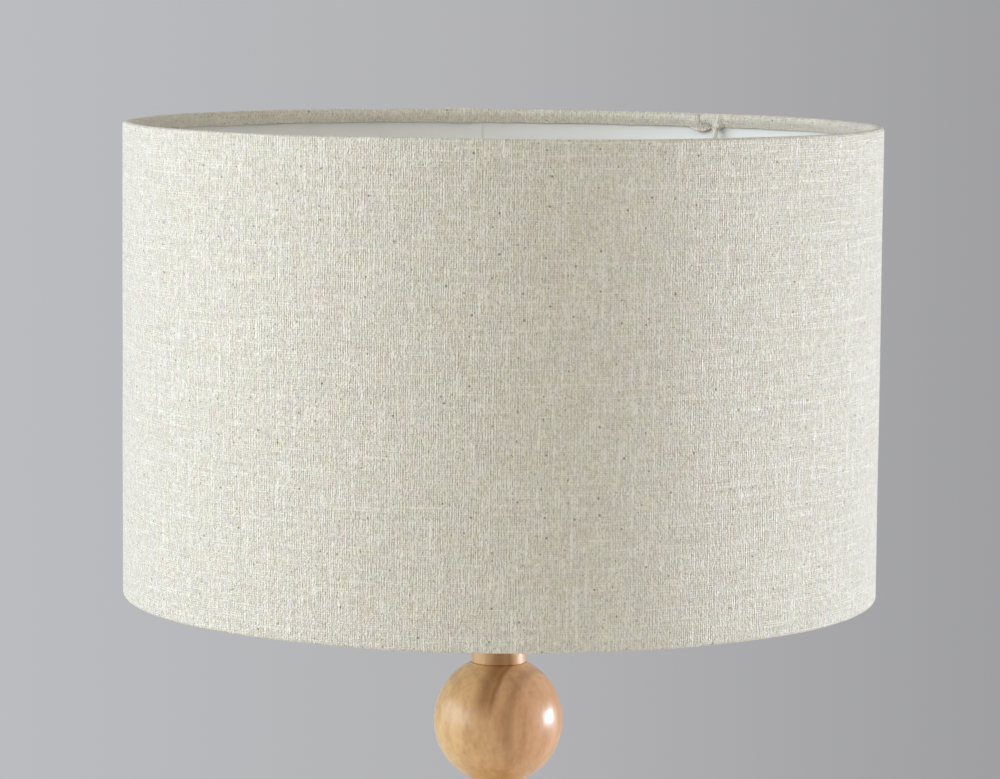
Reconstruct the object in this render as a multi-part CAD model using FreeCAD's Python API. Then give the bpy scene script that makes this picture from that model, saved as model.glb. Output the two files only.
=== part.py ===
# Column table lamp: a stack of turned wooden balls and collars on a round wooden foot, clamped on a
# hollow threaded pipe. On top are a metal neck, a harp saddle, a rotary lamp socket with a frosted bulb,
# a detachable wire harp, and a drum shade of cloth laminated on a white lining, held by a finial.
#
# Millimetres. +Z is up, the origin is the centre of the felt under the foot, and the front is -Y.
# The harp stands in the XZ plane, the switch knob points to the front and the cord leaves at the back.

import FreeCAD, Part
import math
import os

Vector = FreeCAD.Vector
UP = Vector(0, 0, 1)
FRONT = Vector(0, -1, 0)

# ---------------------------------------------------------------- driving dimensions

SHADE_DIAMETER = 381.0
SHADE_HEIGHT = 237.5
BALL_DIAMETER = 65.8
BALL_COUNT = 4
COLLAR_DIAMETER = 28.2
COLLAR_LENGTH = 16.0
SHADE_ABOVE_TOP_BALL = 36.5  # from the top ball's upper seat to the shade's lower edge
FOOT_DIAMETER = 165.0
FOOT_HEIGHT = 28.0  # with its felt
HARP_HEIGHT = 203.2  # an 8 inch harp, from the saddle to the shade's seat
SHADE_DROP = 30.0  # from the shade's upper edge down to its seat on the harp

# Foot
FELT_THICKNESS = 1.5
FELT_RADIUS = 78.0
FOOT_TOP_ROUND = 10.0
FOOT_BOTTOM_ROUND = 2.5
RECESS_RADIUS = 62.0
RECESS_CEILING = 17.0
WEIGHT_RADIUS = 61.0
WEIGHT_THICKNESS = 9.0
WEIGHT_NOTCH_WIDTH = 13.0
WEIGHT_NOTCH_DEPTH = 20.0
INLET_HEIGHT = 8.6  # of the cord inlet's axis
INLET_BORE_RADIUS = 3.5
INLET_SLEEVE_RADIUS = 5.0
INLET_FLANGE_RADIUS = 7.0
INLET_FLANGE_THICKNESS = 1.8
INLET_SEAT_DEPTH = 0.8
INLET_INNER_END = 0.5  # from the recess's wall to the sleeve's inner end
INLET_FIT = 0.05

# Pipe and its nut
PIPE_RADIUS = 4.85
PIPE_BORE_RADIUS = 3.5
PIPE_HOLE_RADIUS = 5.2  # in every turned piece on it
PIPE_BOTTOM = 2.3
THREAD_GAP = 0.08
NUT_WIDTH = 14.0
NUT_HEIGHT = 4.2
WASHER_RADIUS = 14.0
WASHER_THICKNESS = 1.4

# Turned edges
COLLAR_CHAMFER = 0.5

# Metal neck
CHECK_RING_RADIUS = 12.6
CHECK_RING_THICKNESS = 2.4
NECK_FOOT_RADIUS = 9.5
NECK_WAIST_RADIUS = 6.6
NECK_HEAD_RADIUS = 8.8
NECK_HEAD_LAND = 1.5

# Harp saddle
SADDLE_THICKNESS = 1.6
SADDLE_HALF_SPAN = 37.0  # from the axis to the middle of an upright tab
SADDLE_WIDTH = 12.0
SADDLE_BOSS_RADIUS = 11.5
SADDLE_BEND = 2.4
TAB_WIDTH = 4.2
TAB_SHOULDER = 5.0  # above the saddle's underside
TAB_TOP = 14.0

# Harp
HARP_WIRE_RADIUS = 1.6
HARP_FOOT_RADIUS = 2.7
HARP_FOOT_HEIGHT = 14.0
HARP_SLOT_GAP = 0.2
HARP_HALF_WIDTH = 60.0
HARP_LEG_TOP = 52.0  # above the saddle, where the bow starts to flare
HARP_FLARE_TOP = 98.0
HARP_SHOULDER = 146.0
HARP_TOP_HALF_RUN = 34.0
HARP_TOP_BELOW_SEAT = 4.0
SLEEVE_BORE_RADIUS = 2.95
SLEEVE_RADIUS = 4.2
SLEEVE_LENGTH = 13.0
SLEEVE_GAP = 0.3
STUD_BASE_RADIUS = 8.0
STUD_BASE_HEIGHT = 6.6
STUD_RADIUS = 3.175
STUD_HEIGHT = 13.0

# Socket, with heights above the saddle
CAP_RADIUS = 16.9
CAP_HEIGHT = 18.0
CAP_WALL = 0.7
CAP_DOME_HEIGHT = 11.0
CAP_DOME_BULGE = (2.4, 4.0)  # the dome's middle: in from the cap's wall, up from its base
HUB_RADIUS = 8.0
HUB_HEIGHT = 8.0
HUB_WALL = 1.0
SHELL_RADIUS = 16.1
SHELL_WALL = 0.5
SHELL_START = 12.5
SHELL_END = 58.0
LIP_SWELL = 0.8
LIP_HEIGHT = 2.0
LINER_GAP = 0.1
LINER_WALL = 0.6
LINER_INSET = 1.0  # from the shell's ends
CORE_START = 16.0
CORE_END = 34.5
CORE_RADIUS = 14.6
CORE_FLAT = 11.6
CORE_HEAD = 6.0  # full round above the flats
CORE_ROOM = 0.4  # round the switch cam
SCREW_HEAD_RADIUS = 3.0
SCREW_HEAD_THICKNESS = 1.8
SCREW_SLOT = (1.2, 0.9)  # depth and width
KEY_HEIGHT = 25.0
KEY_SHELL_HOLE = 3.4
KEY_LINER_HOLE = 3.0
KEY_CORE_FIT = 0.15
KEY_SHAFT_RADIUS = 1.6
KEY_CAM_RADIUS = 4.4
KEY_CAM_LENGTH = 4.0
KEY_CAM_FRONT = 7.0
KEY_KNOB_START = 18.6
KEY_KNOB_LENGTH = 15.0
KEY_KNOB_RADIUS = 6.4
KEY_KNOB_ROUND = 1.2
KEY_KNOB_SOCKET = 8.0  # how deep the shaft sits in the knob
KEY_KNOB_FLUTES = 12
FLUTE_RADIUS = 0.9
FLUTE_OFFSET = 0.35  # of a flute's centre outside the knob
FLUTE_START = 3.0  # from the knob's inner face
SCREW_SHELL_RADIUS = 13.5
SCREW_SHELL_WALL = 0.35
SCREW_SHELL_FLOOR_HOLE = 5.5
SCREW_SHELL_PLAIN = 2.5  # below its thread
THREAD_PITCH = 3.63
THREAD_DEPTH = 0.75
THREAD_TURNS = 5
CONTACT_LIFT = 1.0
CONTACT_THICKNESS = 0.5
CONTACT_WIDTH = 5.0
CONTACT_LENGTH = 8.0
CONTACT_FOOT = 3.0

# Bulb, a 60 mm pear, with heights above its tip contact
BULB_RADIUS = 30.15
BULB_LENGTH = 107.7
BULB_GLASS_START = 12.0
BULB_NECK_TOP = 30.0
BULB_WAIST = (3.6, 15.5)  # a point of the curved waist: out and up from the neck's top
BULB_SHOULDER_ANGLE = -35.0  # where the waist meets the round, seen from the round's centre
BULB_NECK_RADIUS = 11.8
BULB_GLASS_WALL = 0.8
BULB_CAP_RADIUS = 13.1
BULB_CAP_LENGTH = 21.0
BULB_CAP_WALL = 0.3
BULB_CAP_FLARE = 2.0  # from the cap's bottom out to its thread
BULB_CAP_FLARE_HEIGHT = 1.5
BULB_CAP_HOLE = 5.2
BULB_TIP_RADIUS = 4.8
BULB_TIP_HEIGHT = 1.6
BULB_TIP_EDGE = 0.7
BULB_INSULATOR_RADII = (5.4, 9.9)
BULB_INSULATOR_HEIGHT = 3.2
STEM_FOOT_RADIUS = 8.0
STEM_RADIUS = 3.6
STEM_TIP_RADIUS = 2.2
STEM_FLARE_HEIGHT = 9.0
STEM_TUBE_HEIGHT = 26.0
STEM_HEIGHT = 36.0
FILAMENT_HALF_SPAN = 12.0
FILAMENT_HEIGHT = 70.0
FILAMENT_WIRE_RADIUS = 0.35
FILAMENT_LEAD = (1.0, 5.0)  # half the leads' spacing, and their straight length

# Shade
CLOTH = 0.9
LINING = 0.4
RING_WIRE_RADIUS = 1.5
HEM_DEPTH = 7.0
ARM_WIRE_RADIUS = 1.5
ARM_NOTCH_RADIUS = 2.0
ARM_NOTCH_LENGTH = 14.0
ARM_IN_WASHER = 1.5
ARM_AZIMUTHS = (52.0, 172.0, 292.0)
ARM_KNEE_RADIUS = 180.0
FITTER_WASHER_RADIUS = 12.5
FITTER_WASHER_HOLE = 3.7
FITTER_WASHER_THICKNESS = 2.0

# Finial
FINIAL_HEIGHT = 18.0
FINIAL_BALL_RADIUS = 6.8
FINIAL_FOOT_RADIUS = 7.2
FINIAL_WAIST_RADIUS = 4.9
FINIAL_BORE_DEPTH = 12.0
FINIAL_FOOT_HEIGHT = 1.6
FINIAL_WAIST_HEIGHT = 3.6

# How far a cutting shape runs past the face that it cuts
OVERCUT = 5.0

# ---------------------------------------------------------------- levels worked out from them

BALL_RADIUS = BALL_DIAMETER / 2
COLLAR_RADIUS = COLLAR_DIAMETER / 2
HALF_BALL = math.sqrt(BALL_RADIUS**2 - COLLAR_RADIUS**2)  # from a ball's centre to its seats
STEP = COLLAR_LENGTH + 2 * HALF_BALL
TOP_BALL_SEAT = FOOT_HEIGHT + BALL_COUNT * STEP
COLUMN_TOP = TOP_BALL_SEAT + COLLAR_LENGTH
SHADE_BOTTOM = TOP_BALL_SEAT + SHADE_ABOVE_TOP_BALL
SHADE_TOP = SHADE_BOTTOM + SHADE_HEIGHT
SHADE_SEAT = SHADE_TOP - SHADE_DROP
SADDLE_TOP = SHADE_SEAT - HARP_HEIGHT
SADDLE_BOTTOM = SADDLE_TOP - SADDLE_THICKNESS
FOOT_RADIUS = FOOT_DIAMETER / 2
SHADE_RADIUS = SHADE_DIAMETER / 2
BULB_TIP = SADDLE_TOP + CORE_END + CONTACT_LIFT + CONTACT_THICKNESS
LINING_OUTER = SHADE_RADIUS - CLOTH
LINING_INNER = LINING_OUTER - LINING
RING_RADIUS = LINING_INNER - RING_WIRE_RADIUS
RING_INSET = CLOTH + RING_WIRE_RADIUS  # from the shade's edge down to the ring wire's centre


# ---------------------------------------------------------------- helpers


def outline(start, *steps):
    """A closed wire in the XZ plane. A step is an end point (x, z), or (through, end) for an arc."""
    edges = []
    here = Vector(start[0], 0, start[1])
    first = here
    for step in steps:
        if isinstance(step[0], tuple):
            through = Vector(step[0][0], 0, step[0][1])
            there = Vector(step[1][0], 0, step[1][1])
            edges.append(Part.Arc(here, through, there).toShape())
        else:
            there = Vector(step[0], 0, step[1])
            edges.append(Part.LineSegment(here, there).toShape())
        here = there
    if here.distanceToPoint(first) > 1e-6:
        edges.append(Part.LineSegment(here, first).toShape())
    return Part.Wire(edges)


def turned(start, *steps):
    """A solid turned about the Z axis from an outline of (radius, height) points."""
    return Part.Face(outline(start, *steps)).revolve(Vector(), UP, 360)


def rod(radius, bottom, top, x=0.0, y=0.0):
    return Part.makeCylinder(radius, top - bottom, Vector(x, y, bottom), UP)


def tube(outer, inner, bottom, top):
    return rod(outer, bottom, top).cut(rod(inner, bottom, top))


def rod_to_front(radius, start, length, height):
    """A rod along the front direction, from start in front of the axis."""
    return Part.makeCylinder(radius, length, Vector(0, -start, height), FRONT)


def block(size_x, size_y, size_z, centre_x, centre_y, bottom):
    corner = Vector(centre_x - size_x / 2, centre_y - size_y / 2, bottom)
    return Part.makeBox(size_x, size_y, size_z, corner)


def on_circle(centre, radius, degrees):
    """The point (x, z) at that angle of a circle in an outline."""
    angle = math.radians(degrees)
    return (centre[0] + radius * math.cos(angle), centre[1] + radius * math.sin(angle))


def bent_route(corners, share=0.45):
    """Straight runs through the corners, joined by tangent arcs as large as the runs allow."""
    points = [Vector(*corner) for corner in corners]
    edges = []
    here = points[0]
    for before, corner, after in zip(points, points[1:], points[2:]):
        way_in = (corner - before).normalize()
        way_out = (after - corner).normalize()
        setback = share * min((corner - before).Length, (after - corner).Length)
        start = corner - way_in * setback
        end = corner + way_out * setback
        half_turn = way_in.getAngle(way_out) / 2
        radius = setback / math.tan(half_turn)
        to_centre = (way_out - way_in).normalize()
        middle = corner + to_centre * (radius / math.cos(half_turn) - radius)
        edges.append(Part.LineSegment(here, start).toShape())
        edges.append(Part.Arc(start, middle, end).toShape())
        here = end
    edges.append(Part.LineSegment(here, points[-1]).toShape())
    return Part.Wire(edges)


def bent_wire(corners, radius):
    """A round wire bent along a route."""
    route = bent_route(corners)
    start = Vector(*corners[0])
    along = Vector(*corners[1]) - start
    section = Part.Wire(Part.makeCircle(radius, start, along))
    return route.makePipeShell([section], True, False)


def turned_about_axis(shape, degrees):
    copy = shape.copy()
    copy.rotate(Vector(), UP, degrees)
    return copy


# ---------------------------------------------------------------- foot


def foot_felt():
    return rod(FELT_RADIUS, 0, FELT_THICKNESS)


def foot_disc():
    """Turned wooden disc with a recess for the weight, the pipe hole and the cord inlet."""
    disc = rod(FOOT_RADIUS, FELT_THICKNESS, FOOT_HEIGHT)
    top_edge = [e for e in disc.Edges if e.BoundBox.ZMin > FOOT_HEIGHT - 0.1]
    disc = disc.makeFillet(FOOT_TOP_ROUND, top_edge)
    low_edge = [e for e in disc.Edges if e.BoundBox.ZMax < FELT_THICKNESS + 0.1]
    disc = disc.makeFillet(FOOT_BOTTOM_ROUND, low_edge)
    disc = disc.cut(rod(RECESS_RADIUS, FELT_THICKNESS, RECESS_CEILING))
    disc = disc.cut(rod(PIPE_HOLE_RADIUS, RECESS_CEILING, FOOT_HEIGHT))
    inlet = Vector(0, RECESS_RADIUS - OVERCUT, INLET_HEIGHT)
    disc = disc.cut(Part.makeCylinder(INLET_SLEEVE_RADIUS + INLET_FIT, FOOT_RADIUS, inlet, -FRONT))
    seat = Vector(0, FOOT_RADIUS - INLET_SEAT_DEPTH, INLET_HEIGHT)
    return disc.cut(Part.makeCylinder(INLET_FLANGE_RADIUS + INLET_FIT, OVERCUT, seat, -FRONT))


def cord_bushing():
    """Flanged sleeve that lines the cord inlet. Its bore follows the Y axis."""
    seat = FOOT_RADIUS - INLET_SEAT_DEPTH
    start = Vector(0, RECESS_RADIUS + INLET_INNER_END, INLET_HEIGHT)
    sleeve = Part.makeCylinder(INLET_SLEEVE_RADIUS, seat - start.y, start, -FRONT)
    flange = Part.makeCylinder(
        INLET_FLANGE_RADIUS, INLET_FLANGE_THICKNESS, Vector(0, seat, INLET_HEIGHT), -FRONT
    )
    length = seat + INLET_FLANGE_THICKNESS - start.y
    return sleeve.fuse(flange).cut(Part.makeCylinder(INLET_BORE_RADIUS, length, start, -FRONT))


def foot_weight():
    """Cast disc under the recess's ceiling, notched at the back for the cord."""
    bottom = RECESS_CEILING - WEIGHT_THICKNESS
    disc = rod(WEIGHT_RADIUS, bottom, RECESS_CEILING)
    disc = disc.cut(rod(PIPE_HOLE_RADIUS, bottom, RECESS_CEILING))
    notch_length = WEIGHT_NOTCH_DEPTH + OVERCUT
    notch_middle = WEIGHT_RADIUS + OVERCUT - notch_length / 2
    return disc.cut(block(WEIGHT_NOTCH_WIDTH, notch_length, RECESS_CEILING, 0, notch_middle, 0))


def pipe_washer():
    top = RECESS_CEILING - WEIGHT_THICKNESS
    return tube(WASHER_RADIUS, PIPE_HOLE_RADIUS, top - WASHER_THICKNESS, top)


def pipe_nut():
    """Hexagonal nut that clamps the whole column."""
    top = RECESS_CEILING - WEIGHT_THICKNESS - WASHER_THICKNESS
    corner_radius = NUT_WIDTH / math.sqrt(3)
    corners = []
    for k in range(7):
        corner = on_circle((0, 0), corner_radius, 60 * k)
        corners.append(Vector(corner[0], corner[1], top - NUT_HEIGHT))
    hexagon = Part.Face(Part.makePolygon(corners)).extrude(UP * NUT_HEIGHT)
    return hexagon.cut(rod(PIPE_RADIUS + THREAD_GAP, top - NUT_HEIGHT, top))


def threaded_pipe():
    return tube(PIPE_RADIUS, PIPE_BORE_RADIUS, PIPE_BOTTOM, SADDLE_TOP + HUB_HEIGHT)


# ---------------------------------------------------------------- column


def wooden_ball(bottom):
    """Turned ball with a flat seat at each end, on its bore."""
    middle = bottom + HALF_BALL
    top = middle + HALF_BALL
    return turned(
        (PIPE_HOLE_RADIUS, bottom),
        (COLLAR_RADIUS, bottom),
        ((BALL_RADIUS, middle), (COLLAR_RADIUS, top)),
        (PIPE_HOLE_RADIUS, top),
    )


def wooden_collar(bottom):
    """Short turned cylinder with chamfered ends."""
    top = bottom + COLLAR_LENGTH
    return turned(
        (PIPE_HOLE_RADIUS, bottom),
        (COLLAR_RADIUS - COLLAR_CHAMFER, bottom),
        (COLLAR_RADIUS, bottom + COLLAR_CHAMFER),
        (COLLAR_RADIUS, top - COLLAR_CHAMFER),
        (COLLAR_RADIUS - COLLAR_CHAMFER, top),
        (PIPE_HOLE_RADIUS, top),
    )


def check_ring():
    """Metal disc that spreads the neck's load on the top collar."""
    top = COLUMN_TOP + CHECK_RING_THICKNESS
    round_off = CHECK_RING_THICKNESS / 2
    return turned(
        (PIPE_HOLE_RADIUS, COLUMN_TOP),
        (CHECK_RING_RADIUS - round_off, COLUMN_TOP),
        ((CHECK_RING_RADIUS, COLUMN_TOP + round_off), (CHECK_RING_RADIUS - round_off, top)),
        (PIPE_HOLE_RADIUS, top),
    )


def metal_neck():
    """Waisted spindle between the check ring and the saddle."""
    bottom = COLUMN_TOP + CHECK_RING_THICKNESS
    middle = (bottom + SADDLE_BOTTOM) / 2
    return turned(
        (PIPE_HOLE_RADIUS, bottom),
        (NECK_FOOT_RADIUS, bottom),
        ((NECK_WAIST_RADIUS, middle), (NECK_HEAD_RADIUS, SADDLE_BOTTOM - NECK_HEAD_LAND)),
        (NECK_HEAD_RADIUS, SADDLE_BOTTOM),
        (PIPE_HOLE_RADIUS, SADDLE_BOTTOM),
    )


# ---------------------------------------------------------------- harp


def harp_saddle():
    """Flat strip with a hole for the pipe, bent up at both ends into narrow tabs."""
    outer = SADDLE_HALF_SPAN + SADDLE_THICKNESS / 2
    inner = SADDLE_HALF_SPAN - SADDLE_THICKNESS / 2
    low = SADDLE_BOTTOM
    tip = low + TAB_TOP
    big = SADDLE_BEND + SADDLE_THICKNESS
    centre = (outer - big, low + big)
    left_centre = (-centre[0], centre[1])
    strip = Part.Face(
        outline(
            (-centre[0], low),
            (centre[0], low),
            (on_circle(centre, big, -45), (outer, low + big)),
            (outer, tip),
            (inner, tip),
            (inner, low + big),
            (on_circle(centre, SADDLE_BEND, -45), (centre[0], SADDLE_TOP)),
            (-centre[0], SADDLE_TOP),
            (on_circle(left_centre, SADDLE_BEND, -135), (-inner, low + big)),
            (-inner, tip),
            (-outer, tip),
            (-outer, low + big),
            (on_circle(left_centre, big, -135), (-centre[0], low)),
        )
    )
    strip.translate(Vector(0, -SADDLE_WIDTH / 2, 0))
    saddle = strip.extrude(Vector(0, SADDLE_WIDTH, 0))
    for side in (-1, 1):
        waste_y = side * (TAB_WIDTH + SADDLE_WIDTH) / 2
        waste = block(4 * SADDLE_HALF_SPAN, SADDLE_WIDTH, TAB_TOP, 0, waste_y, low + TAB_SHOULDER)
        saddle = saddle.cut(waste)
    saddle = saddle.fuse(rod(SADDLE_BOSS_RADIUS, low, SADDLE_TOP)).removeSplitter()
    return saddle.cut(rod(PIPE_HOLE_RADIUS, low, SADDLE_TOP))


def harp_bow():
    """Wire bow from one foot to the other. Each foot is slotted to sit over a tab of the saddle."""
    foot_bottom = SADDLE_BOTTOM + TAB_SHOULDER
    foot_top = foot_bottom + HARP_FOOT_HEIGHT
    top = SHADE_SEAT - HARP_TOP_BELOW_SEAT
    half = [
        (SADDLE_HALF_SPAN, foot_top - HARP_WIRE_RADIUS),
        (SADDLE_HALF_SPAN, SADDLE_TOP + HARP_LEG_TOP),
        (HARP_HALF_WIDTH, SADDLE_TOP + HARP_FLARE_TOP),
        (HARP_HALF_WIDTH, SADDLE_TOP + HARP_SHOULDER),
        (HARP_TOP_HALF_RUN, top),
    ]
    corners = [(-x, 0, z) for x, z in half]
    corners += [(x, 0, z) for x, z in reversed(half)]
    bow = bent_wire(corners, HARP_WIRE_RADIUS)
    tab_tip = SADDLE_BOTTOM + TAB_TOP
    for side in (-1, 1):
        x = side * SADDLE_HALF_SPAN
        foot = rod(HARP_FOOT_RADIUS, foot_bottom, foot_top, x)
        slot_width = SADDLE_THICKNESS + 2 * HARP_SLOT_GAP
        slot = block(slot_width, 4 * HARP_FOOT_RADIUS, tab_tip - foot_bottom, x, 0, foot_bottom)
        bow = bow.fuse(foot.cut(slot))
    return bow


def harp_stud(bow):
    """Disc on top of the bow that carries the shade, with the threaded stud for the finial."""
    base = rod(STUD_BASE_RADIUS, SHADE_SEAT - STUD_BASE_HEIGHT, SHADE_SEAT)
    stud = rod(STUD_RADIUS, SHADE_SEAT, SHADE_SEAT + STUD_HEIGHT)
    return base.fuse(stud).cut(bow)


def harp_sleeve(side):
    """Sliding ferrule that locks a foot of the harp on its tab."""
    bottom = SADDLE_BOTTOM + TAB_SHOULDER + SLEEVE_GAP
    sleeve = tube(SLEEVE_RADIUS, SLEEVE_BORE_RADIUS, bottom, bottom + SLEEVE_LENGTH)
    sleeve.translate(Vector(side * SADDLE_HALF_SPAN, 0, 0))
    return sleeve


# ---------------------------------------------------------------- socket


def socket_cap():
    """Cup that screws on the pipe and takes the socket's shell."""
    base = SADDLE_TOP
    top = base + CAP_HEIGHT
    dome = base + CAP_DOME_HEIGHT
    inner = CAP_RADIUS - CAP_WALL
    bore = PIPE_RADIUS + THREAD_GAP
    hub_inner = HUB_RADIUS - HUB_WALL
    bulge_in, bulge_up = CAP_DOME_BULGE
    return turned(
        (bore, base),
        (HUB_RADIUS, base),
        ((CAP_RADIUS - bulge_in, base + bulge_up), (CAP_RADIUS, dome)),
        (CAP_RADIUS, top),
        (inner, top),
        (inner, dome),
        ((inner - bulge_in, base + bulge_up + CAP_WALL), (hub_inner, base + HUB_WALL)),
        (hub_inner, base + HUB_HEIGHT),
        (bore, base + HUB_HEIGHT),
    )


def key_hole(radius):
    """The hole for the switch key through the front of the socket's layers."""
    return rod_to_front(radius, KEY_CAM_FRONT, SHELL_RADIUS, SADDLE_TOP + KEY_HEIGHT)


def socket_shell():
    """Thin metal barrel with a rolled lip and a hole for the switch key."""
    bottom = SADDLE_TOP + SHELL_START
    top = SADDLE_TOP + SHELL_END
    inner = SHELL_RADIUS - SHELL_WALL
    barrel = turned(
        (inner, bottom),
        (SHELL_RADIUS, bottom),
        (SHELL_RADIUS, top - LIP_HEIGHT),
        ((SHELL_RADIUS + LIP_SWELL, top - LIP_HEIGHT / 2), (SHELL_RADIUS, top)),
        (inner, top),
    )
    return barrel.cut(key_hole(KEY_SHELL_HOLE))


def socket_liner():
    """Insulating sleeve inside the shell."""
    outer = SHELL_RADIUS - SHELL_WALL - LINER_GAP
    bottom = SADDLE_TOP + SHELL_START + LINER_INSET
    liner = tube(outer, outer - LINER_WALL, bottom, SADDLE_TOP + SHELL_END - LINER_INSET)
    return liner.cut(key_hole(KEY_LINER_HOLE))


def socket_core():
    """Moulded body with the switch chamber. Its flats carry the terminal screws."""
    low = SADDLE_TOP + CORE_START
    key = SADDLE_TOP + KEY_HEIGHT
    flat_height = CORE_END - CORE_START - CORE_HEAD
    core = rod(CORE_RADIUS, low, SADDLE_TOP + CORE_END)
    for side in (-1, 1):
        core = core.cut(block(CORE_RADIUS, 40, flat_height, side * (CORE_FLAT + CORE_RADIUS / 2), 0, low))
    chamber_start = KEY_CAM_FRONT - KEY_CAM_LENGTH - CORE_ROOM
    chamber_length = KEY_CAM_LENGTH + 2 * CORE_ROOM
    core = core.cut(rod_to_front(KEY_CAM_RADIUS + CORE_ROOM, chamber_start, chamber_length, key))
    return core.cut(rod_to_front(KEY_SHAFT_RADIUS + KEY_CORE_FIT, chamber_start, CORE_RADIUS, key))


def terminal_screws():
    """Two binding screws with slotted heads, one on each flat of the core."""
    height = SADDLE_TOP + (CORE_START + CORE_END - CORE_HEAD) / 2
    slot_depth, slot_width = SCREW_SLOT
    slot_length = 4 * SCREW_HEAD_RADIUS
    screws = []
    for side in (-1, 1):
        face = Vector(side * CORE_FLAT, 0, height)
        head = Part.makeCylinder(SCREW_HEAD_RADIUS, SCREW_HEAD_THICKNESS, face, Vector(side, 0, 0))
        slot_x = side * (CORE_FLAT + SCREW_HEAD_THICKNESS)
        slot = block(slot_depth, slot_width, slot_length, slot_x, 0, height - slot_length / 2)
        screws.append(head.cut(slot))
    return Part.makeCompound(screws)


def ringed_thread(radius, bottom):
    """Outline steps up a rounded thread, drawn as rings that swell by the thread's depth."""
    steps = []
    for turn in range(THREAD_TURNS):
        low = bottom + turn * THREAD_PITCH
        crest = (radius + THREAD_DEPTH, low + THREAD_PITCH / 2)
        steps.append((crest, (radius, low + THREAD_PITCH)))
    return steps


def screw_shell():
    """Brass shell that takes the bulb's cap. Its thread is drawn as rings outside the cap's path."""
    floor = SADDLE_TOP + CORE_END
    thread_bottom = floor + SCREW_SHELL_PLAIN
    rim = SADDLE_TOP + SHELL_END - LINER_INSET
    outer = SCREW_SHELL_RADIUS + SCREW_SHELL_WALL
    inner_floor = floor + SCREW_SHELL_WALL
    skin = turned(
        (SCREW_SHELL_FLOOR_HOLE, floor),
        (outer, floor),
        (outer, thread_bottom),
        *ringed_thread(outer, thread_bottom),
        (outer, rim),
        (0, rim),
        (0, inner_floor),
        (SCREW_SHELL_FLOOR_HOLE, inner_floor),
    )
    inside = turned(
        (0, inner_floor),
        (SCREW_SHELL_RADIUS, inner_floor),
        (SCREW_SHELL_RADIUS, thread_bottom),
        *ringed_thread(SCREW_SHELL_RADIUS, thread_bottom),
        (SCREW_SHELL_RADIUS, rim),
        (0, rim),
    )
    return skin.cut(inside)


def centre_contact():
    """Brass tongue on the core's face that touches the bulb's tip."""
    floor = SADDLE_TOP + CORE_END
    tongue_start = -CONTACT_LENGTH / 2 - CONTACT_THICKNESS
    foot = block(CONTACT_FOOT, CONTACT_WIDTH, CONTACT_LIFT, tongue_start + CONTACT_FOOT / 2, 0, floor)
    middle = tongue_start + CONTACT_LENGTH / 2
    tongue = block(CONTACT_LENGTH, CONTACT_WIDTH, CONTACT_THICKNESS, middle, 0, floor + CONTACT_LIFT)
    return foot.fuse(tongue).removeSplitter()


def switch_shaft():
    """Key shaft with the cam that works the contacts."""
    key = SADDLE_TOP + KEY_HEIGHT
    cam_back = KEY_CAM_FRONT - KEY_CAM_LENGTH
    cam = rod_to_front(KEY_CAM_RADIUS, cam_back, KEY_CAM_LENGTH, key)
    shaft_end = KEY_KNOB_START + KEY_KNOB_SOCKET
    return cam.fuse(rod_to_front(KEY_SHAFT_RADIUS, cam_back, shaft_end - cam_back, key))


def switch_knob():
    """Fluted turn knob, pressed on the shaft."""
    key = SADDLE_TOP + KEY_HEIGHT
    knob = rod_to_front(KEY_KNOB_RADIUS, KEY_KNOB_START, KEY_KNOB_LENGTH, key)
    front = -(KEY_KNOB_START + KEY_KNOB_LENGTH)
    front_edges = [e for e in knob.Edges if e.BoundBox.YMax < front + 0.1]
    knob = knob.makeFillet(KEY_KNOB_ROUND, front_edges)
    for flute in range(KEY_KNOB_FLUTES):
        x, z = on_circle((0, key), KEY_KNOB_RADIUS + FLUTE_OFFSET, 360 / KEY_KNOB_FLUTES * flute)
        start = Vector(x, -(KEY_KNOB_START + FLUTE_START), z)
        knob = knob.cut(Part.makeCylinder(FLUTE_RADIUS, KEY_KNOB_LENGTH, start, FRONT))
    return knob.cut(rod_to_front(KEY_SHAFT_RADIUS, KEY_KNOB_START, KEY_KNOB_SOCKET, key))


# ---------------------------------------------------------------- bulb


def bulb_cap():
    """Screw cap with a rounded thread, drawn as rings, crimped on the glass."""
    bottom = BULB_TIP + BULB_TIP_HEIGHT + BULB_INSULATOR_HEIGHT
    top = bottom + BULB_CAP_LENGTH
    root = BULB_CAP_RADIUS - THREAD_DEPTH
    floor_radius = root - BULB_CAP_FLARE
    thread_bottom = bottom + BULB_CAP_FLARE_HEIGHT
    skin = turned(
        (0, bottom),
        (floor_radius, bottom),
        (root, thread_bottom),
        *ringed_thread(root, thread_bottom),
        (root, top),
        (0, top),
    )
    hollow = turned(
        (0, bottom + BULB_CAP_WALL),
        (floor_radius, bottom + BULB_CAP_WALL),
        (root - BULB_CAP_WALL, thread_bottom),
        (root - BULB_CAP_WALL, top),
        (0, top),
    )
    return skin.cut(hollow).cut(rod(BULB_CAP_HOLE, bottom, thread_bottom))


def bulb_insulator():
    """Black glass between the cap and the tip contact."""
    bottom = BULB_TIP + BULB_TIP_HEIGHT
    top = bottom + BULB_INSULATOR_HEIGHT
    low_radius, top_radius = BULB_INSULATOR_RADII
    return turned((0, bottom), (low_radius, bottom), (top_radius, top), (0, top))


def bulb_tip():
    """Solder contact with a domed underside."""
    top = BULB_TIP + BULB_TIP_HEIGHT
    edge = BULB_TIP + BULB_TIP_EDGE
    shoulder = (BULB_TIP_RADIUS * 0.6, BULB_TIP + BULB_TIP_EDGE * 0.35)
    return turned((0, BULB_TIP), (shoulder, (BULB_TIP_RADIUS, edge)), (BULB_TIP_RADIUS, top), (0, top))


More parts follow.
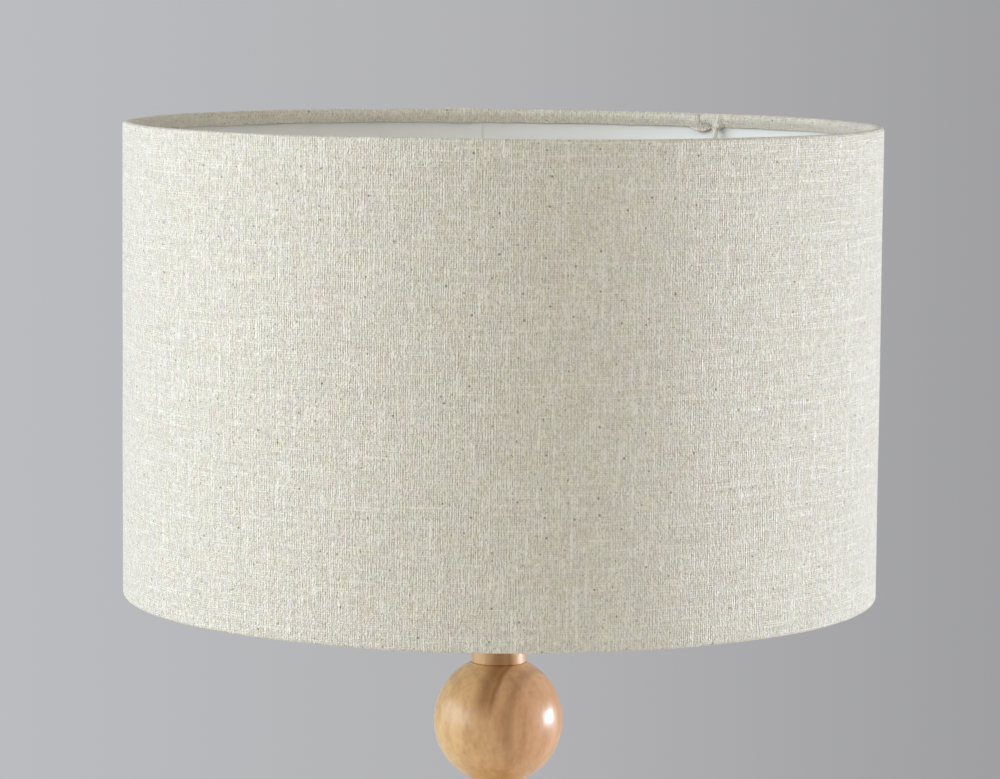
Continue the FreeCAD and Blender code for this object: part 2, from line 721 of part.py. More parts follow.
def pear(inset):
    """The bulb's outline as a solid, drawn in by the inset."""
    base = BULB_TIP + BULB_GLASS_START + inset
    centre = (0, BULB_TIP + BULB_LENGTH - BULB_RADIUS)
    radius = BULB_RADIUS - inset
    neck = BULB_NECK_RADIUS - inset
    neck_top = BULB_TIP + BULB_NECK_TOP
    waist = (neck + BULB_WAIST[0], neck_top + BULB_WAIST[1])
    return turned(
        (0, base),
        (neck, base),
        (neck, neck_top),
        (waist, on_circle(centre, radius, BULB_SHOULDER_ANGLE)),
        (on_circle(centre, radius, 20), (0, centre[1] + radius)),
    )


def bulb_glass():
    """Frosted pear of even wall, closed at its foot inside the cap."""
    return pear(0).cut(pear(BULB_GLASS_WALL))


def bulb_stem():
    """Glass stem that carries the filament."""
    bottom = BULB_TIP + BULB_GLASS_START + BULB_GLASS_WALL
    flare_middle = ((STEM_FOOT_RADIUS + STEM_RADIUS) / 2 - 0.8, bottom + STEM_FLARE_HEIGHT / 3)
    tip_start = STEM_TUBE_HEIGHT + 2 * (STEM_RADIUS - STEM_TIP_RADIUS)
    return turned(
        (0, bottom),
        (STEM_FOOT_RADIUS, bottom),
        (flare_middle, (STEM_RADIUS, bottom + STEM_FLARE_HEIGHT)),
        (STEM_RADIUS, bottom + STEM_TUBE_HEIGHT),
        (STEM_TIP_RADIUS, bottom + tip_start),
        (STEM_TIP_RADIUS, bottom + STEM_HEIGHT),
        (0, bottom + STEM_HEIGHT),
    )


def bulb_filament():
    """Filament and its two leads, bent from one wire that stands on the stem."""
    foot = BULB_TIP + BULB_GLASS_START + BULB_GLASS_WALL + STEM_HEIGHT
    top = BULB_TIP + FILAMENT_HEIGHT
    lead_x, lead_height = FILAMENT_LEAD
    half = [(lead_x, foot), (lead_x, foot + lead_height), (FILAMENT_HALF_SPAN, top)]
    corners = [(-x, 0, z) for x, z in half]
    corners += [(x, 0, z) for x, z in reversed(half)]
    return bent_wire(corners, FILAMENT_WIRE_RADIUS)


# ---------------------------------------------------------------- shade


def top_hem():
    """The cloth from the wall's top, over the ring wire and round it, then down the lining."""
    level = SHADE_TOP - RING_INSET
    ring = (RING_RADIUS, level)
    shoulder = (SHADE_RADIUS - RING_INSET, level)
    roll = RING_WIRE_RADIUS + CLOTH
    over = on_circle(ring, roll, 225)
    under = on_circle(ring, RING_WIRE_RADIUS, 225)
    leaf = LINING_INNER - CLOTH
    hem_end = SHADE_TOP - HEM_DEPTH
    return turned(
        (SHADE_RADIUS, level),
        (on_circle(shoulder, RING_INSET, 45), (shoulder[0], SHADE_TOP)),
        (RING_RADIUS, SHADE_TOP),
        (on_circle(ring, roll, 160), over),
        (leaf, over[1] - leaf + over[0]),
        (leaf, hem_end),
        (LINING_INNER, hem_end),
        (LINING_INNER, under[1] - LINING_INNER + under[0]),
        under,
        (on_circle(ring, RING_WIRE_RADIUS, 160), (RING_RADIUS, SHADE_TOP - CLOTH)),
        (LINING_OUTER, SHADE_TOP - CLOTH),
        (LINING_OUTER, level),
    )


def shade_cloth(arms_axes):
    """The cloth: an upright wall rolled inwards over the ring at each edge, notched at each arm."""
    wall = tube(SHADE_RADIUS, LINING_OUTER, SHADE_BOTTOM + RING_INSET, SHADE_TOP - RING_INSET)
    top = top_hem()
    bottom = top.mirror(UP * (SHADE_BOTTOM + SHADE_TOP) / 2, UP)
    cloth = wall.fuse([top, bottom]).removeSplitter()
    for origin, direction in arms_axes:
        cloth = cloth.cut(Part.makeCylinder(ARM_NOTCH_RADIUS, ARM_NOTCH_LENGTH, origin, direction))
    return cloth


def shade_lining():
    return tube(LINING_OUTER, LINING_INNER, SHADE_BOTTOM + CLOTH, SHADE_TOP - CLOTH)


def shade_ring(height):
    return Part.makeTorus(RING_RADIUS, RING_WIRE_RADIUS, Vector(0, 0, height), UP)


def fitter_washer():
    top = SHADE_SEAT + FITTER_WASHER_THICKNESS
    return tube(FITTER_WASHER_RADIUS, FITTER_WASHER_HOLE, SHADE_SEAT, top)


def fitter_arm(azimuth, washer, ring):
    """Bent wire from the washer out to the top ring, coped to both."""
    level = SHADE_SEAT + ARM_WIRE_RADIUS
    corners = [
        (FITTER_WASHER_RADIUS - ARM_IN_WASHER, 0, level),
        (ARM_KNEE_RADIUS, 0, level),
        (RING_RADIUS, 0, SHADE_TOP - RING_INSET),
    ]
    arm = bent_wire(corners, ARM_WIRE_RADIUS)
    return turned_about_axis(arm, azimuth).cut(washer).cut(ring)


def arm_axis(azimuth):
    """Where an arm meets the top ring, and its direction down and inwards from there."""
    angle = math.radians(azimuth)
    outwards = Vector(math.cos(angle), math.sin(angle), 0)
    top = outwards * RING_RADIUS + UP * (SHADE_TOP - RING_INSET)
    knee = outwards * ARM_KNEE_RADIUS + UP * (SHADE_SEAT + ARM_WIRE_RADIUS)
    return top, (knee - top).normalize()


# ---------------------------------------------------------------- finial


def finial():
    """Turned knob with a blind threaded hole."""
    bottom = SHADE_SEAT + FITTER_WASHER_THICKNESS
    centre = (0, bottom + FINIAL_HEIGHT - FINIAL_BALL_RADIUS)
    knob = turned(
        (0, bottom),
        (FINIAL_FOOT_RADIUS, bottom),
        (FINIAL_FOOT_RADIUS, bottom + FINIAL_FOOT_HEIGHT),
        ((FINIAL_WAIST_RADIUS, bottom + FINIAL_WAIST_HEIGHT), on_circle(centre, FINIAL_BALL_RADIUS, -40)),
        (on_circle(centre, FINIAL_BALL_RADIUS, 20), (0, bottom + FINIAL_HEIGHT)),
    )
    return knob.cut(rod(STUD_RADIUS + THREAD_GAP, bottom, bottom + FINIAL_BORE_DEPTH))


# ---------------------------------------------------------------- the whole lamp


def build():
    """Every sub-part of the lamp, by its node's name."""
    nodes = {
        "foot_felt": foot_felt(),
        "foot_disc": foot_disc(),
        "foot_weight": foot_weight(),
        "cord_bushing": cord_bushing(),
        "pipe_washer": pipe_washer(),
        "pipe_nut": pipe_nut(),
        "threaded_pipe": threaded_pipe(),
        "check_ring": check_ring(),
        "metal_neck": metal_neck(),
        "harp_saddle": harp_saddle(),
        "socket_cap": socket_cap(),
        "socket_shell": socket_shell(),
        "socket_liner": socket_liner(),
        "socket_core": socket_core(),
        "terminal_screws": terminal_screws(),
        "screw_shell": screw_shell(),
        "centre_contact": centre_contact(),
        "switch_shaft": switch_shaft(),
        "switch_knob": switch_knob(),
        "bulb_cap": bulb_cap(),
        "bulb_insulator": bulb_insulator(),
        "bulb_tip": bulb_tip(),
        "bulb_glass": bulb_glass(),
        "bulb_stem": bulb_stem(),
        "bulb_filament": bulb_filament(),
        "harp_bow": harp_bow(),
        "harp_sleeve_left": harp_sleeve(-1),
        "harp_sleeve_right": harp_sleeve(1),
        "shade_lining": shade_lining(),
        "top_ring": shade_ring(SHADE_TOP - RING_INSET),
        "bottom_ring": shade_ring(SHADE_BOTTOM + RING_INSET),
        "fitter_washer": fitter_washer(),
        "finial": finial(),
    }
    for number in range(BALL_COUNT):
        foot = FOOT_HEIGHT + number * STEP
        nodes[f"wooden_collar_{number + 1}"] = wooden_collar(foot)
        nodes[f"wooden_ball_{number + 1}"] = wooden_ball(foot + COLLAR_LENGTH)
    nodes[f"wooden_collar_{BALL_COUNT + 1}"] = wooden_collar(TOP_BALL_SEAT)
    nodes["harp_stud"] = harp_stud(nodes["harp_bow"])
    for number, azimuth in enumerate(ARM_AZIMUTHS, 1):
        arm = fitter_arm(azimuth, nodes["fitter_washer"], nodes["top_ring"])
        nodes[f"fitter_arm_{number}"] = arm
    nodes["shade_cloth"] = shade_cloth([arm_axis(azimuth) for azimuth in ARM_AZIMUTHS])
    return nodes


os.makedirs("parts", exist_ok=True)
for name, shape in build().items():
    shape.exportStep(f"parts/{name}.step")
    print(f"{name}: {len(shape.Solids)} solid(s), {shape.Volume / 1000:.3f} cm3, valid {shape.isValid()}")
print(f"shade from {SHADE_BOTTOM:.1f} to {SHADE_TOP:.1f} mm")
print(f"saddle at {SADDLE_TOP:.1f} mm, shade seat at {SHADE_SEAT:.1f} mm, bulb tip at {BULB_TIP:.1f} mm")
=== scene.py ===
# %% [markdown]
# # A column table lamp
#
# This lesson dresses a table lamp: a column of turned wooden balls and collars, a metal neck, a rotary
# socket with a frosted bulb, a wire harp, and a drum shade of slub cloth on a white lining. Its hard
# parts arrive at their real size and place. What is made here is what those parts can't show: the wrapped
# cloth with its rolled hems, the lining film, the felt, and the finish of every surface.
#
# Loading comes first, so that every later piece can take its size from a part that is already there.

# %% Load the hard parts
import math
from bisect import bisect_right

import bmesh
import bpy
from mathutils import Euler, Matrix, Vector, noise
from mathutils.geometry import interpolate_bezier


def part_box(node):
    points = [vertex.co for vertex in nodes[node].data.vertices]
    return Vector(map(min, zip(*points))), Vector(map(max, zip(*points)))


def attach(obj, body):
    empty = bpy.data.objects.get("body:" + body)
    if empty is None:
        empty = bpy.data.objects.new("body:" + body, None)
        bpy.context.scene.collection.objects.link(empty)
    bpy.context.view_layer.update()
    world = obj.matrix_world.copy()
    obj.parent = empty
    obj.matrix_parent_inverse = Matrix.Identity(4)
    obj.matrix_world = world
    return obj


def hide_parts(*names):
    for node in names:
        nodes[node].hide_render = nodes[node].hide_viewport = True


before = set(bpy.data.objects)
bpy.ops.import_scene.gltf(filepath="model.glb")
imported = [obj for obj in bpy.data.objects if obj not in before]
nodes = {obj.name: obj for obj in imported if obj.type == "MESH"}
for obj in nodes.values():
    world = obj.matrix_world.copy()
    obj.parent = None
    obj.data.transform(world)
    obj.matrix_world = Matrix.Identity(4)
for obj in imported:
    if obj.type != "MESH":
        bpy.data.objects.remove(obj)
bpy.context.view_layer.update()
MM = 0.001

# %% [markdown]
# ## Three small helpers
#
# Colours are written the way a paint chart gives them, as sRGB hex values, and shaders count in linear
# light. One function makes the turn, so no colour is converted by hand.
#
# A procedural material is a chain of nodes. Adding a node, setting it and joining it up is always the
# same three moves, so one function does all three. An input that is given a socket gets a link, one that
# is given a node gets a link to its first output, and one that is given a number or a colour keeps it.
# Every finish begins with the same two nodes, a surface shader and the output, and the third function
# makes those.

# %% Colour, node and material helpers
def linear(hex_code):
    """An sRGB hex colour such as #E3DCCE, as linear red, green, blue and a full alpha."""
    channels = [int(hex_code[start:start + 2], 16) / 255 for start in (1, 3, 5)]
    return [c / 12.92 if c <= 0.04045 else ((c + 0.055) / 1.055) ** 2.4 for c in channels] + [1.0]


def add_node(tree, kind, inputs=None, **settings):
    """Adds a node, such as Math for a ShaderNodeMath, sets its properties, links or fills its inputs."""
    node = tree.nodes.new("ShaderNode" + kind)
    for name, value in settings.items():
        setattr(node, name, value)
    for name, value in (inputs or {}).items():
        value = value.outputs[0] if isinstance(value, bpy.types.Node) else value
        if isinstance(value, bpy.types.NodeSocket):
            tree.links.new(value, node.inputs[name])
        else:
            node.inputs[name].default_value = value
    return node


def new_material(name, **constants):
    """An empty material with one surface shader, whose constant inputs are set straight on its sockets."""
    material = bpy.data.materials.new(name)
    material.use_nodes = True
    tree = material.node_tree
    tree.nodes.clear()
    named = {key.replace("_", " ").title().replace("Ior", "IOR"): value for key, value in constants.items()}
    surface = add_node(tree, "BsdfPrincipled", named)
    add_node(tree, "OutputMaterial", {"Surface": surface.outputs["BSDF"]})
    return material, tree, surface


print("a mid grey, #808080, is", round(linear("#808080")[0], 3), "in linear light")

# %% [markdown]
# ## The camera
#
# The lamp is seen the way a product photographer takes it: from about two metres with a long lens, so
# that the drum looks almost flat, and from a little above its rim, so that a sliver of the white inside
# shows. A long lens from far off keeps the two sides of the shade nearly upright. A wide lens from close
# by would turn them into a bucket.
#
# Its height is measured from the shade's lower edge, and it leans half a degree, as a hand-held camera
# does.

# %% Make the camera
CAMERA_DISTANCE = 2.0537  # metres
CAMERA_ABOVE_HEM = 0.31934
CAMERA_PITCH = 6.02  # degrees down
CAMERA_LEAN = 0.49
CAMERA_TURN = -0.014
CAMERA_LENS = 147.03  # mm
CAMERA_SENSOR = 36.0

shade_low, shade_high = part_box("shade_cloth")
scene = bpy.context.scene
camera = bpy.data.objects.new("camera", bpy.data.cameras.new("camera"))
scene.collection.objects.link(camera)
scene.camera = camera
camera.data.lens = CAMERA_LENS
camera.data.sensor_width = CAMERA_SENSOR
aim = Euler((math.radians(90 - CAMERA_PITCH), 0, math.radians(-CAMERA_TURN))).to_matrix()
lean = Matrix.Rotation(math.radians(CAMERA_LEAN), 3, "Z")
place = Vector((0, -CAMERA_DISTANCE, shade_low.z + CAMERA_ABOVE_HEM))
camera.matrix_world = Matrix.Translation(place) @ (aim @ lean).to_4x4()
print("camera at", [round(value, 3) for value in place], "metres")

# %% [markdown]
# ## The studio
#
# A pale shade needs a background that is a little darker than itself, or its edges vanish. So a grey
# paper wall stands a metre behind it, with painted window light that makes it brighter on the side of
# the larger window. The lamp stands on a pale floor that keeps its shadow.
#
# The wall is a plain plane with two tricks, both on the wall only. Camera, glossy and glass rays see its
# written grey, while other rays meet plain matt paper. Its back is clear, so that the lamp can also be
# looked at from behind.

# %% Build the floor and the wall
FLOOR_REACH = 8.0  # metres to each side
WALL_REACH = 4.0
WALL_BEHIND = 1.0
WALL_HALF_VIEW = 0.37  # half of what the camera sees of the wall
# Painted window light: the wall's grey is lighter on the left, towards the larger window, and darker on the
# right.
WALL_LEFT = "#BBBCC0"
WALL_MIDDLE = "#B3B3B5"
WALL_RIGHT = "#A0A0A3"
FLOOR_TONE = "#E6E4E0"


def stage_plane(name, corners, material):
    """A flat four-cornered piece of the studio."""
    mesh = bpy.data.meshes.new(name)
    mesh.from_pydata(corners, [], [(0, 1, 2, 3)])
    mesh.materials.append(material)
    plane = bpy.data.objects.new(name, mesh)
    scene.collection.objects.link(plane)


def wall_paper():
    """Matt grey paper that shows its written tone, with painted window light that fades to the right, and has
    a clear back.
    """
    material = bpy.data.materials.new("matt grey paper")
    material.use_nodes = True
    tree = material.node_tree
    tree.nodes.clear()
    spot = add_node(tree, "TexCoord").outputs["Object"]
    sideways = add_node(tree, "SeparateXYZ", {0: spot}).outputs["X"]
    view = {"From Min": -WALL_HALF_VIEW, "From Max": WALL_HALF_VIEW}
    across = add_node(tree, "MapRange", {"Value": sideways, **view})
    tones = add_node(tree, "ValToRGB", {"Fac": across.outputs["Result"]})
    tones.color_ramp.elements[0].color = linear(WALL_LEFT)
    tones.color_ramp.elements[1].color = linear(WALL_RIGHT)
    tones.color_ramp.elements.new(0.5).color = linear(WALL_MIDDLE)
    shown = add_node(tree, "Emission", {"Color": tones.outputs["Color"]})
    paper = add_node(tree, "BsdfDiffuse", {"Color": tones.outputs["Color"]})
    rays = add_node(tree, "LightPath").outputs
    seen = rays["Is Camera Ray"]
    for other in ("Is Glossy Ray", "Is Transmission Ray"):
        seen = add_node(tree, "Math", {0: seen, 1: rays[other]}, operation="MAXIMUM")
    front = add_node(tree, "MixShader", {0: seen, 1: paper, 2: shown})
    clear = add_node(tree, "BsdfTransparent")
    side = add_node(tree, "NewGeometry").outputs["Backfacing"]
    both = add_node(tree, "MixShader", {0: side, 1: front, 2: clear})
    add_node(tree, "OutputMaterial", {"Surface": both})
    return material


matt_floor, _, _ = new_material("matt painted board", base_color=linear(FLOOR_TONE), roughness=0.85)
floor_corners = [(x * FLOOR_REACH, y * FLOOR_REACH, 0) for x, y in ((-1, -1), (1, -1), (1, 1), (-1, 1))]
wall_corners = [(x * WALL_REACH, WALL_BEHIND, z * WALL_REACH) for x, z in ((-1, 0), (1, 0), (1, 1), (-1, 1))]
stage_plane("studio_floor", floor_corners, matt_floor)
stage_plane("studio_wall", wall_corners, wall_paper())
print("studio: floor", 2 * FLOOR_REACH, "m wide, wall", WALL_BEHIND, "m behind the lamp")

# %% [markdown]
# ## The light
#
# The shade tells how it is lit: both sides are bright, the left one over a wider stretch, and the darkest
# upright band lies a little right of the middle. That is a wide window on the left, slightly towards the
# viewer, and a smaller one on the right, slightly behind. Two soft area lamps do the same. The even light
# of the room comes from the sky of the world, which also is the pale background of the other views.
#
# A lamp's power divided by its area and by pi is how bright its face is, so the power is worked out from
# that brightness. It stays right when a lamp is made larger or smaller.

# %% Set up the windows and the room
ROOM_TONE = "#CFCCC3"
ROOM_STRENGTH = 0.95
BACKGROUND_TONE = "#C9C9C9"
WINDOWS = {  # azimuth in degrees, lengths in metres
    "left_window": {"azimuth": -83, "away": 2.2, "size": (3.0, 2.0), "height": 1.12, "glow": 2.9,
                    "tint": "#E4F1FF"},
    "right_window": {"azimuth": 102, "away": 2.2, "size": (1.0, 0.55), "height": 0.33, "glow": 20.0,
                     "tint": "#E6F0FF"},
}


def add_window(name, azimuth, away, size, height, glow, tint):
    """A soft rectangular light that faces the lamp. Azimuth 0 is the camera's side, 90 the right."""
    data = bpy.data.lights.new(name, "AREA")
    data.shape = "RECTANGLE"
    data.size, data.size_y = size
    data.energy = glow * size[0] * size[1] * math.pi
    data.color = linear(tint)[:3]
    window = bpy.data.objects.new(name, data)
    scene.collection.objects.link(window)
    turn = math.radians(azimuth)
    out = Vector((math.sin(turn), -math.cos(turn), 0))
    window.location = out * away + Vector((0, 0, height))
    window.rotation_euler = out.to_track_quat("Z", "Y").to_euler()
    return window


for window_name, facts in WINDOWS.items():
    print(window_name, "gives", round(add_window(window_name, **facts).data.energy, 1), "W")

world = bpy.data.worlds.new("room light")
scene.world = world
world.use_nodes = True
sky = world.node_tree
sky.nodes.clear()
room = add_node(sky, "Background", {"Color": linear(ROOM_TONE), "Strength": ROOM_STRENGTH})
backdrop = add_node(sky, "Background", {"Color": linear(BACKGROUND_TONE), "Strength": 1.0})
from_camera = add_node(sky, "LightPath").outputs["Is Camera Ray"]
mixed = add_node(sky, "MixShader", {0: from_camera, 1: room, 2: backdrop})
add_node(sky, "OutputWorld", {"Surface": mixed})
scene.view_settings.view_transform = "Standard"

# %% [markdown]
# ## The shade's cloth: how it is wrapped
#
# A drum shade starts as one flat strip: cloth glued to a stiff white film. The strip is rolled into a
# drum, its ends overlap by about a centimetre and are glued, and a wire ring goes into each end. The
# cloth is cut wider than the film, and the spare edge is rolled over the ring and stuck down inside. That
# is why the edge of such a shade is soft and round, and why a band of cloth shows inside the rim.
#
# It could be a cylinder with a thickness and a bevelled edge, but then the rim would be as sharp and even
# as pipe. So the strip is modelled as the strip that it is: a grid of points whose columns run round the
# drum and whose rows follow the cloth from the inside of the lower hem, round the ring, up the wall and
# over the upper ring. Its end lies on its beginning at the back, which gives the upright seam.
#
# The hem's path is drawn once, seen in section, from the ring's centre: up the wall, round a tight
# shoulder, across the ring's top, down its inner side, and from there to the lining, where the glue holds
# the leaf's end. The shoulder is tight because the stiff film under the cloth ends there.

# %% Draw the hem's path in section
CLOTH_THICKNESS = 0.8 * MM
SHOULDER_RADIUS = 1.2 * MM
SHOULDER_STEP = 10  # degrees between two points of the path
RING_STEP = 6
LEAF_STEPS = 12
LEAF_LEAVES = (0, -1.8 * MM)  # how the leaf's curve leaves the ring
LEAF_ARRIVES = (-0.6 * MM, 1.6 * MM)  # and where it comes from when it meets the lining
HEM_DEPTH = 6.8 * MM  # from the rim down to the end of the inner leaf
HEM_SPARE = 9.0 * MM  # more path past that, for places where the leaf is longer
LEAF_GAP = 0.05 * MM
OVER_CENTRE = 0.01 * MM  # a point of the path this near counts as over the ring's centre

ring_low, ring_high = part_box("top_ring")
lining_low, lining_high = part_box("shade_lining")
wire_radius = (ring_high.z - ring_low.z) / 2
ring_radius = ring_high.x - wire_radius
ring_level = ring_high.z - wire_radius
cloth_radius = shade_high.x - CLOTH_THICKNESS / 2
cloth_over_ring = shade_high.z - CLOTH_THICKNESS / 2 - ring_level


def hem_path():
    """Points (out, up) of the cloth's middle, from beside the ring over it and down to the spare end."""
    outside = cloth_radius - ring_radius
    inside = wire_radius + CLOTH_THICKNESS / 2
    leaf = ring_high.x - ring_radius - CLOTH_THICKNESS / 2 - LEAF_GAP
    points = [Vector((outside, 0))]
    for degrees in range(0, 91, SHOULDER_STEP):
        turn = Vector((math.cos(math.radians(degrees)), math.sin(math.radians(degrees))))
        points.append(Vector((outside, cloth_over_ring)) + (turn - Vector((1, 1))) * SHOULDER_RADIUS)
    for degrees in range(90, 181, RING_STEP):
        turn = math.radians(degrees)
        points.append(Vector((inside * math.cos(turn), cloth_over_ring * math.sin(turn))))
    start = points[-1]
    end = Vector((leaf, cloth_over_ring - HEM_DEPTH))
    handles = start + Vector(LEAF_LEAVES), end + Vector(LEAF_ARRIVES)
    points += [point.to_2d() for point in interpolate_bezier(start, *handles, end, LEAF_STEPS)[1:]]
    points.append(end - Vector((0, HEM_SPARE)))
    return points


hem = hem_path()
hem_spans = [(there - here).length for here, there in zip(hem, hem[1:])]
hem_marks = [sum(hem_spans[:count]) for count in range(len(hem))]
hem_length = hem_marks[-2]
hem_top = next(mark for mark, point in zip(hem_marks, hem) if point.x <= OVER_CENTRE)


def walk_hem(distance):
    """The point at a distance along the hem's path, and the path's direction there."""
    step = min(bisect_right(hem_marks, distance), len(hem) - 1) - 1
    heading = (hem[step + 1] - hem[step]) / hem_spans[step]
    return hem[step] + heading * (distance - hem_marks[step]), heading


print("the hem is", round(hem_length / MM, 1), "mm of cloth from the wall's end to the leaf's end")

# %% [markdown]
# ## The shade's cloth: where it isn't even
#
# Cloth that is folded by hand is never quite even. Round the rim the leaf's edge waves by half a
# millimetre, and at one place a loose corner of it hangs lower. Where an arm of the wire fitter meets the
# ring, the leaf can't lie flat: it passes over the wire like a small tent, and the spare cloth bunches
# beside the arm in a fold with a slanting crease.
#
# These are functions of the distance round the drum and the depth down the hem, in real millimetres, so
# each can be read as a size on the shade. Perlin noise of the place in space gives the unevenness, and it
# closes on itself round the drum because the places do.

# %% Describe waves, gathers and creases
SEED_SPREAD = (1.0, 1.7, 2.3)  # one step of a wave's seed goes this far through the noise
GATHER_DROP = 2.6 * MM  # how much lower the leaf ends where it is bunched
GATHER_RISES = (1.5 * MM, 9.5 * MM)  # from the arm
GATHER_FALLS = (11.5 * MM, 20.5 * MM)
TENT_HALF_WIDTH = 1.5 * MM  # of the cloth that passes over an arm
TENT_SLOPE = 1.2 * MM
PUFF_HEIGHT = 1.7 * MM
PUFF_AWAY = 11.5 * MM  # from the arm to the middle of the bunched cloth
PUFF_SPREAD = 5.5 * MM
PUFF_RISES = (0.5 * MM, 4.0 * MM)  # down the leaf
CREASE_DEPTH = 2.3 * MM
CREASE_WIDTH = 0.75 * MM
CREASE = [Vector(spot) * MM for spot in ((10.5, 2.2), (10.0, 4.6), (8.4, 6.6), (6.0, 8.0), (3.0, 8.8))]
LOOSE_CORNER = (math.radians(153.7), 1.6 * MM, 2.0 * MM)  # azimuth, half width and length
CORNER_SLOPE = 0.6 * MM


def smooth(low, high, value):
    """Rises smoothly from 0 at low to 1 at high."""
    share = min(max((value - low) / (high - low), 0.0), 1.0)
    return share * share * (3 - 2 * share)


def bell(value, middle, spread):
    """1 at the middle, and a smooth fall to nothing about twice the spread away."""
    return math.exp(-(((value - middle) / spread) ** 2))


def wobble(point, wave):
    """The height of a wave (height, length, seed) at a point, from about -height to height."""
    height, length, seed = wave
    return height * noise.noise(point / length + Vector([seed * step for step in SEED_SPREAD]))


def around(azimuth, other):
    """How far an azimuth lies round the ring from another, in metres, anticlockwise from above as +."""
    return ((azimuth - other + math.pi) % (2 * math.pi) - math.pi) * ring_radius


def leaf_drop(beside, azimuth):
    """How much longer the leaf is, at a distance round from the nearest arm."""
    bunched = smooth(*GATHER_RISES, beside) * (1 - smooth(*GATHER_FALLS, beside))
    corner_azimuth, half_width, length = LOOSE_CORNER
    corner = 1 - smooth(half_width, half_width + CORNER_SLOPE, abs(around(azimuth, corner_azimuth)))
    return GATHER_DROP * bunched + length * corner


def bunching(beside, depth, tent):
    """How far the cloth stands off its path beside an arm, and tent is how far it must to clear the wire."""
    over_arm = 1 - smooth(TENT_HALF_WIDTH, TENT_HALF_WIDTH + TENT_SLOPE, abs(beside))
    puff = PUFF_HEIGHT * bell(beside, PUFF_AWAY, PUFF_SPREAD) * smooth(*PUFF_RISES, depth)
    spot = Vector((beside, depth))
    off = 1.0
    for here, there in zip(CREASE, CREASE[1:]):
        along = there - here
        share = min(max((spot - here).dot(along) / along.length_squared, 0.0), 1.0)
        off = min(off, (spot - here - along * share).length)
    return max(tent * over_arm, puff) - CREASE_DEPTH * bell(off, 0, CREASE_WIDTH) * (1 - over_arm)


def azimuth_of(node):
    """The direction in which a node lies from the lamp's axis, in radians."""
    low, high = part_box(node)
    middle = (low + high) / 2
    return math.atan2(middle.y, middle.x)


arm_azimuths = [azimuth_of(f"fitter_arm_{number}") for number in (1, 2, 3)]
print("arms at", [round(math.degrees(azimuth)) for azimuth in arm_azimuths], "degrees")

# %% [markdown]
# ## A sheet as a grid
#
# Cloth and lining are both strips, so both are grids of points. Columns lie 2 mm apart round the drum,
# and 0.4 mm apart near the arms and the seam, where something small has to show. Each point also gets its
# place on the flat strip, in millimetres, as its texture coordinate. The weave is drawn with that later,
# so it bends over the rim with the cloth. A modifier gives the sheet its thickness.

# %% Make a sheet from columns
COARSE_COLUMN = 2.0 * MM
FINE_COLUMN = 0.4 * MM
FINE_REACH = 24.0 * MM


def strip_columns(length, fine_places):
    """Distances round the drum of the grid's columns, closer together near the fine places."""
    places = [0.0]
    while places[-1] < length:
        near = min(abs(places[-1] - fine) for fine in fine_places)
        places.append(places[-1] + (FINE_COLUMN if near < FINE_REACH else COARSE_COLUMN))
    places[-1] = length
    return places


def grid_mesh(name, columns):
    """A mesh whose columns are lists of (point, place on the flat strip in mm)."""
    height = len(columns[0])
    faces = []
    for column in range(len(columns) - 1):
        for row in range(height - 1):
            corner = column * height + row
            faces.append((corner, corner + height, corner + height + 1, corner + 1))
    mesh = bpy.data.meshes.new(name)
    mesh.from_pydata([point for column in columns for point, _ in column], [], faces)
    flat = [place for column in columns for _, place in column]
    layer = mesh.uv_layers.new(name="strip_mm")
    layer.uv.foreach_set("vector", [value for loop in mesh.loops for value in flat[loop.vertex_index]])
    mesh.shade_smooth()
    piece = bpy.data.objects.new(name, mesh)
    scene.collection.objects.link(piece)
    return piece


def thicken(piece, thickness):
    """Gives a sheet its thickness, half to each side."""
    solidify = piece.modifiers.new("thickness", "SOLIDIFY")
    solidify.thickness = thickness
    solidify.offset = 0.0


print("columns", COARSE_COLUMN / MM, "mm apart, and", FINE_COLUMN / MM, "mm where it is fine")

# %% [markdown]
# ## The shade's cloth: the mesh
#
# Rows are 4 mm apart up the plain wall and 0.4 mm apart round the hems. One function makes the rows of a
# hem, for the lower edge as well as the upper one, and the next joins two hems and a wall into a column.
# Near an arm, the leaf is pushed inwards far enough for the wire to pass behind it.

# %% Build the cloth
LEAF_WAVES = ((0.45 * MM, 22 * MM, 1.0), (0.27 * MM, 7 * MM, 2.0))  # height, length and seed
WALL_WAVE = (0.2 * MM, 70 * MM, 3.0)
RIM_WAVE = (0.25 * MM, 60 * MM, 5.0)
HEMS_APART = 2  # how far apart the two hems' waves are taken, so that they differ
BUNCH_RISES = (0, 2.5 * MM)
SEAM_AZIMUTH = math.radians(96.0)
SEAM_OVERLAP = 11.0 * MM
SEAM_RAMP = 9.0 * MM
SEAM_FOLD = 0.12 * MM  # the end is turned under, so it is a little thicker
FOLD_STARTS = 6.0 * MM  # from the strip's end
FOLD_FULL = 4.5 * MM
ARM_KNEE = 180.0 * MM  # where an arm of the fitter turns up, from the lamp's axis
WALL_ROWS = 58
HEM_ROWS = 30


def wire_in_the_way(spot):
    """How far a point of the leaf must go inwards to clear an arm's wire at its height."""
    share = (spot.y + ring_level - arm_level) / (ring_level - arm_level)
    arm_out = ARM_KNEE + (ring_radius - ARM_KNEE) * share
    return max(ring_radius + spot.x - arm_out + wire_radius + CLOTH_THICKNESS / 2, 0.0)


